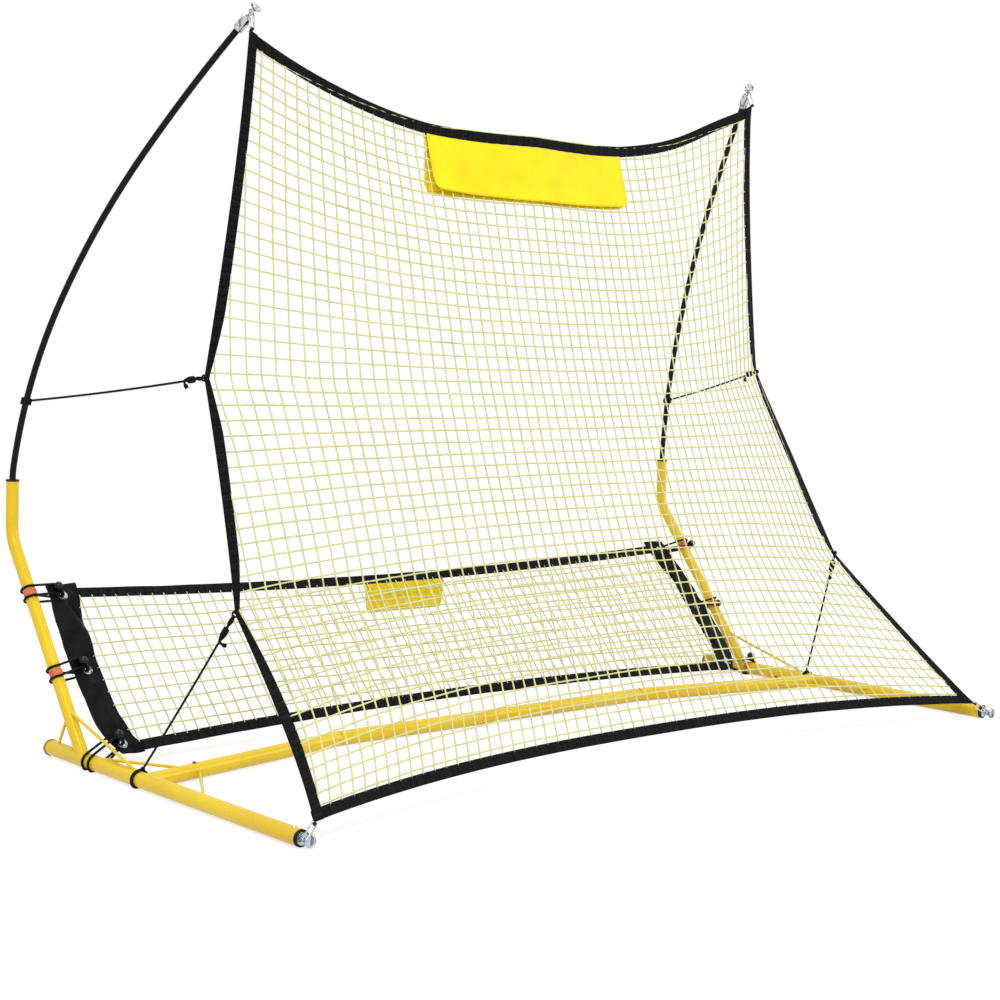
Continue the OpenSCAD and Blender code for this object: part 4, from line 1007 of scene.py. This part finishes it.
class TubeView:
    """Places round a tube: +Z along it, +X towards the ring of the end panel, +Y to the front."""

    def __init__(self, k):
        self.ring = on_catch(*GROMMETS[k])
        if k < 2:
            self.at = FOOT + ((self.ring - FOOT) @ UPRIGHT_WAY) * UPRIGHT_WAY
            self.way, self.radius = UPRIGHT_WAY, UPRIGHT_D / 2
        else:
            self.at, self.way = np.array([HALF_SPAN, FOOT_Y - 18, AXIS_Z]), np.array([0, 1.0, 0])
            self.radius = BASE_D / 2
        knot = self.ring - 14 * CATCH_OUT - self.at
        self.across = unit(knot - (knot @ self.way) * self.way)
        self.up = np.cross(self.way, self.across)

    def seen(self, p):
        w = np.asarray(p, float) - self.at
        return np.array([w @ self.across, w @ self.up, w @ self.way])

    def real(self, q):
        return self.at + q[..., 0:1] * self.across + q[..., 1:2] * self.up + q[..., 2:3] * self.way


def panel_ball(k):
    """Middle of a ball that lies on the left end panel."""
    return on_catch(GROMMETS[k][0] + 7.5, GROMMETS[k][1] - 15.8) + (2.3 + BALL_D / 2) * CATCH_OUT


def left_cord(k):
    """From the ball through the ring, twice round the tube by way of the ball's neck, and back."""
    view = TubeView(k)
    shift = 0.0 if k < 2 else -19.0
    ball, hole = view.seen(panel_ball(k)), view.seen(view.ring)
    out = view.seen(view.ring + CATCH_OUT) - hole
    side = np.cross(np.array([0, 0, 1.0]), out)
    side = unit(side) * (1 if side[0] > 0 else -1)
    ring = view.radius + CORD_D / 2 + 0.4
    foot = ball - out * 7.1
    near, beyond, wide = foot - side * BEND, foot + side * BEND, np.array([0, 0, BEND])
    high, low = shift + TURN_GAP / 2, shift - TURN_GAP / 2
    pair = np.array([0, 0, CORD_D / 2 + 0.1])
    front, back = hole + out * 11.8, hole - out * 11.5
    behind = leaving(back, ring, -1) + 360
    before = leaving(near, ring, 1)
    marks = [(ball, 0), (front + pair, BEND), (back + pair, BEND)]
    marks += ring_marks(ring, behind, before, (high, high))
    marks += [(near + wide, BEND), (beyond + wide, BEND), (beyond - wide, BEND), (near - wide, BEND)]
    marks += ring_marks(ring, before, behind, (low, low))
    marks += [(back - pair, BEND), (front - pair, BEND), (ball, 0)]
    return view, evenly(rounded_line(marks), 2.0)


def right_cord(k):
    """From the ball round the back of the tube, through the ring, and over its front to the ball's neck."""
    view = TubeView(k)
    ring = view.radius + OVER_BAND
    reach = ring + CORD_D / 2 + 0.3 + BALL_D / 2
    foot, shift = BALL_TURN[k], BALL_SHIFT[k]
    turn = math.radians(foot)
    outward_way = np.array([math.cos(turn), math.sin(turn), 0])
    round_way = np.array([-math.sin(turn), math.cos(turn), 0])

    def by_ball(s, high, along):
        """A place in the plane that touches the ring under the ball."""
        return outward_way * (ring + high) + round_way * s + np.array([0, 0, along])

    ball = outward_way * reach + np.array([0, 0, shift])
    hole = view.seen(view.ring)
    out = view.seen(view.ring + CATCH_OUT) - hole
    pair = CORD_D / 2 + 0.1
    behind_at, before_at = hole - out * 11.5, hole + out * 11.0
    behind, before = leaving(behind_at, ring, -1) + 360, leaving(before_at, ring, 1)
    down = math.degrees(math.atan(15.0 / ring))
    over = 20.0
    flat = ring * math.tan(math.radians(over))

    def to_back(along):
        marks = [(by_ball(0, 0, shift + along), BEND), (by_ball(15.0, 0, shift + along), ring)]
        if behind > foot + 2 * down + 6:
            marks += ring_marks(ring, foot + 2 * down, behind, (shift + along, along))
        return marks + [(behind_at + [0, 0, along], BEND), (before_at + [0, 0, along], BEND)]

    def to_ball(along):
        marks = []
        if foot - 2 * over > before + 6:
            marks += ring_marks(ring, before, foot - 2 * over, (along, shift + along))
            marks += [(by_ball(-flat, 0, shift + along), ring)]
        return marks + [(by_ball(BEND, 5.2, shift + along), BEND)]

    marks = [(ball, 0)] + to_back(pair) + to_ball(BEND)
    marks += to_ball(-BEND)[::-1] + to_back(-pair)[::-1] + [(ball, 0)]
    return view, evenly(rounded_line(marks), 2.0)


def ball_cords():
    for hand, route, side in ((-1, left_cord, "left"), (1, right_cord, "right")):
        for k, place in enumerate(("top", "middle", "bottom")):
            view, line = route(k)
            line = view.real(line)
            line[:, 2] = np.maximum(line[:, 2], CORD_D / 2 + 0.05)
            line = in_place(line * np.array([hand, 1, 1]))
            mesh = tubes([(line, CORD_D / 2, None)], 12)
            made = piece(f"ball_cord_{side}_{place}", *mesh, ELASTIC, "elastic_cord", ["ball_cords"])


ball_cords()

# ------------------------------------------------------------ pull cords and their knots

UPPER_D, LOWER_D = 4.5, 4.4


def bow_place():
    """Where the upper cord is tied to the pole, and the pole's direction there, on the right side."""
    tie = math.radians(16.0)
    corner = math.radians(POLE_ANGLES[0])
    flat = POLE_RADII[0] * np.array([1 - math.cos(corner), math.sin(corner)])
    arc = np.array([math.cos(corner) - math.cos(tie), math.sin(tie) - math.sin(corner)])
    flat = flat + POLE_RADII[1] * arc
    local = np.array([-flat[0] * math.sin(POLE_TURN), BEND_Y - FOOT_Y - flat[0] * math.cos(POLE_TURN),
                      flat[1] + BEND_H + UPRIGHT_TOP + BUSH_T])
    way = np.array([-math.sin(tie) * math.sin(POLE_TURN), -math.sin(tie) * math.cos(POLE_TURN),
                    math.cos(tie)])
    spread = np.array([[math.cos(SPLAY), 0, -math.sin(SPLAY)], [0, 1, 0],
                       [math.sin(SPLAY), 0, math.cos(SPLAY)]])
    return FOOT + spread @ local, spread @ way


def wraps(at, way, radius, thick, count, pitch):
    """Rings of cord laid side by side round a line."""
    seed = np.array([0, 0, 1.0]) if abs(way[2]) < 0.9 else np.array([1.0, 0, 0])
    a = unit(seed - (seed @ way) * way)
    b = np.cross(way, a)
    runs = []
    for i in range(count):
        turn = np.linspace(0, 2 * math.pi * 0.985, 25)
        lift = (i - (count - 1) / 2) * pitch
        line = at + way * lift + radius * (np.cos(turn)[:, None] * a + np.sin(turn)[:, None] * b)
        line = line + way * np.linspace(-0.35, 0.35, 25)[:, None] * pitch
        runs.append((line, thick / 2, None))
    return runs


def pull_knot(at, way, long, thick, fat, tail):
    """A hand-tied knot: the doubled end laid along the cord, four wraps over it, and the loose end."""
    seed = np.array([0, 0, 1.0])
    down = unit(-(seed - (seed @ way) * way))
    over = np.cross(way, down)
    runs = []
    t = np.linspace(0, 1, 33)
    for phase in (0.0, math.pi):
        swell = fat * np.sin(math.pi * np.clip(t, 0, 1)) ** 0.7
        turn = phase + t * 1.5 * math.pi
        spoke = np.cos(turn)[:, None] * down + np.sin(turn)[:, None] * over
        line = at + way * (t * long)[:, None] + swell[:, None] * spoke
        runs.append((line, thick / 2, None))
    runs += wraps(at + way * long * 0.6, way, fat * 0.95, thick, 4, thick * 0.85)
    t = np.linspace(0, 1, 12)[:, None]
    line = at + way * long * (0.98 + 0.1 * t) + down * (fat * 0.5 + tail * t)
    line = line - way * (t * t * tail * 0.35) + over * (t * 3.0)
    runs.append((line, thick / 2 * (1 + 0.25 * np.sin(np.linspace(0, math.pi, 12))), None))
    # the loose end is tied off too
    runs += wraps(line[-1] - down * thick, unit(line[-1] - line[-2]), thick * 0.62, thick * 0.8, 2,
                  thick * 0.7)
    return runs


def pull_cords():
    tie, pole_way = bow_place()
    foot = np.array([HALF_SPAN, 4.0, AXIS_Z])
    for hand, side in ((-1, "left"), (1, "right")):
        flip = np.array([hand, 1, 1])
        waists = [side_edge(np.array(w), hand) for w in WAISTS[1:3]]
        for place, start, waist, thick, long, fat in (
                ("upper", tie, waists[0], UPPER_D, 44.0, 5.0),
                ("lower", foot, waists[1], LOWER_D, 56.0, 4.6)):
            way = unit(start - waist)
            knot = waist + way * 5.0
            runs = pull_knot(knot, way, long, thick * 0.92, fat, 13.0)
            # the small loop that goes round the gathered binding
            runs += wraps(waist, unit(np.cross(way, np.array([0, 0.3, 1.0]))), 5.4, thick * 0.8, 1, 1.0)
            runs += wraps(waist - way * 4.0, way, 3.0, thick * 0.9, 2, thick * 0.8)
            if place == "upper":
                end = tie + way * -8.2
                runs += wraps(tie, pole_way, POLE_D / 2 + 0.2 + thick / 2, thick, 3, thick * 0.96)
                runs += wraps(end, way, 3.4, thick, 2, thick * 0.8)
            else:
                end = foot + unit((waist - foot) * np.array([1, 0, 1])) * (BASE_D / 2 + 2.0)
                runs += wraps(foot, np.array([0, 1.0, 0]), BASE_D / 2 + 0.15 + thick / 2, thick, 2,
                              thick * 1.05)
                runs += wraps(end, unit(waist - end), 2.6, thick * 0.95, 3, thick * 0.75)
            held = []
            for line, radius, facing in runs:
                line = line.copy()
                line[:, 2] = np.maximum(line[:, 2], thick / 2 + 0.05)
                held.append((in_place(line * flip), radius, facing))
            stands = ["cord_knots", "base_cord_rings"] if place == "lower" else ["cord_knots"]
            tied = piece(f"pull_knots_{side}_{place}", *tubes(held, 10), ROPE, "elastic_cord", stands)
            t = np.linspace(0, 1, 48)[:, None]
            near, far = end, waist + way * 3.0
            line = near + (far - near) * t
            sag = np.array([0, 0, -3.0]) * 4 * t * (1 - t)
            line = in_place((line + sag) * flip)
            mesh = tubes([(line, thick / 2, None)], 12)
            made = piece(f"pull_cord_{side}_{place}", *mesh, ROPE, "elastic_cord", [f"{place}_pull_cords"])


pull_cords()

# ------------------------------------------------------------ finishes of the frame's own parts


def dress(finish, *names):
    for name in names:
        node = nodes[name]
        for held in node.material_slots:
            held.material = finish
        node.data.polygons.foreach_set("use_smooth", [True] * len(node.data.polygons))
        weld = node.modifiers.new("joined_skin", "WELD")
        weld.merge_threshold = 0.00001
        edges = node.modifiers.new("crisp_edges", "EDGE_SPLIT")
        edges.split_angle = math.radians(32)


for side in ("left", "right"):
    dress(COAT, f"base_tube_{side}", f"upright_socket_{side}", f"cross_socket_{side}", f"brace_rods_{side}",
          f"upright_{side}", f"cross_tube_{side}")
    dress(DARK_STEEL, f"cross_button_{side}", f"upright_button_{side}")
    dress(POLE, f"pole_{side}")
dress(COAT, "cross_tube_middle")
dress(CAP, "rear_caps")
dress(PLASTIC, "front_collars", "pole_bushes", "corner_loops")
dress(ZINC, "front_knobs", "front_rivets", "grommets")
dress(CHROME, "tip_sleeves", "tip_knobs", "button_springs")
dress(WIRE, "corner_rings")
dress(BALL, "cord_balls")
dress(RED, "rubber_bands")

# ------------------------------------------------------------ floor and light


def white_to_the_eye(tree, shown, working):
    """Shown to the camera and in reflections, working for the light."""
    path = tree.nodes.new("ShaderNodeLightPath")
    either = tree.nodes.new("ShaderNodeMath")
    either.operation = "MAXIMUM"
    tree.links.new(path.outputs["Is Camera Ray"], either.inputs[0])
    again = tree.nodes.new("ShaderNodeMath")
    again.operation = "MAXIMUM"
    tree.links.new(path.outputs["Is Glossy Ray"], again.inputs[0])
    tree.links.new(path.outputs["Is Transmission Ray"], again.inputs[1])
    tree.links.new(again.outputs[0], either.inputs[1])
    mix = tree.nodes.new("ShaderNodeMixShader")
    tree.links.new(either.outputs[0], mix.inputs[0])
    tree.links.new(working, mix.inputs[1])
    tree.links.new(shown, mix.inputs[2])
    return mix.outputs[0]


def shining(tree, kind, strength):
    """A white source of light."""
    made = tree.nodes.new(kind)
    made.inputs[0].default_value, made.inputs[1].default_value = (1, 1, 1, 1), strength
    return made


def set_room():
    world = bpy.data.worlds.new("studio")
    scene.world = world
    world.use_nodes = True
    tree = world.node_tree
    tree.nodes.clear()
    soft = shining(tree, "ShaderNodeBackground", 0.62)
    white = shining(tree, "ShaderNodeBackground", 1.0)
    out = tree.nodes.new("ShaderNodeOutputWorld")
    tree.links.new(white_to_the_eye(tree, white.outputs[0], soft.outputs[0]), out.inputs[0])

    bpy.ops.mesh.primitive_circle_add(vertices=96, radius=9, fill_type="NGON", location=(0, 0, -0.0005))
    floor = bpy.context.active_object
    floor.name = "studio_floor"
    made = bpy.data.materials.new("pale_floor")
    made.use_nodes = True
    tree = made.node_tree
    tree.nodes.clear()
    matt = tree.nodes.new("ShaderNodeBsdfDiffuse")
    matt.inputs[0].default_value = (0.26, 0.26, 0.26, 1)
    glow = shining(tree, "ShaderNodeEmission", 0.77)
    both = tree.nodes.new("ShaderNodeAddShader")
    tree.links.new(matt.outputs[0], both.inputs[0])
    tree.links.new(glow.outputs[0], both.inputs[1])
    # far from the frame the floor turns as white as the room, so that its rim is never seen
    white = shining(tree, "ShaderNodeEmission", 1.0)
    far = tree.nodes.new("ShaderNodeVectorMath")
    far.operation = "LENGTH"
    tree.links.new(tree.nodes.new("ShaderNodeTexCoord").outputs["Object"], far.inputs[0])
    share = tree.nodes.new("ShaderNodeMapRange")
    share.inputs["From Min"].default_value, share.inputs["From Max"].default_value = 1.6, 4.0
    tree.links.new(far.outputs["Value"], share.inputs["Value"])
    fading = tree.nodes.new("ShaderNodeMixShader")
    tree.links.new(share.outputs["Result"], fading.inputs[0])
    tree.links.new(both.outputs[0], fading.inputs[1])
    tree.links.new(white.outputs[0], fading.inputs[2])
    plain = tree.nodes.new("ShaderNodeBsdfDiffuse")
    plain.inputs[0].default_value = (0.8, 0.8, 0.8, 1)
    out = tree.nodes.new("ShaderNodeOutputMaterial")
    tree.links.new(white_to_the_eye(tree, fading.outputs[0], plain.outputs[0]), out.inputs[0])
    floor.data.materials.append(made)


def lamp(name, place, aim, size, power):
    data = bpy.data.lights.new(name, "AREA")
    data.shape = "DISK"
    data.size = size
    data.energy = power
    made = bpy.data.objects.new(name, data)
    made.location = place
    made.rotation_euler = (Vector(aim) - Vector(place)).to_track_quat("-Z", "Y").to_euler()
    scene.collection.objects.link(made)


set_room()
lamp("key_lamp", (-3.2, -3.6, 4.6), (0, 0, 0.5), 2.6, 190)
lamp("fill_lamp", (4.4, -3.0, 2.6), (0, 0, 0.6), 3.0, 90)
lamp("top_lamp", (0.4, 1.2, 5.4), (0, 0, 0.3), 3.2, 90)
scene.view_settings.view_transform = "Standard"
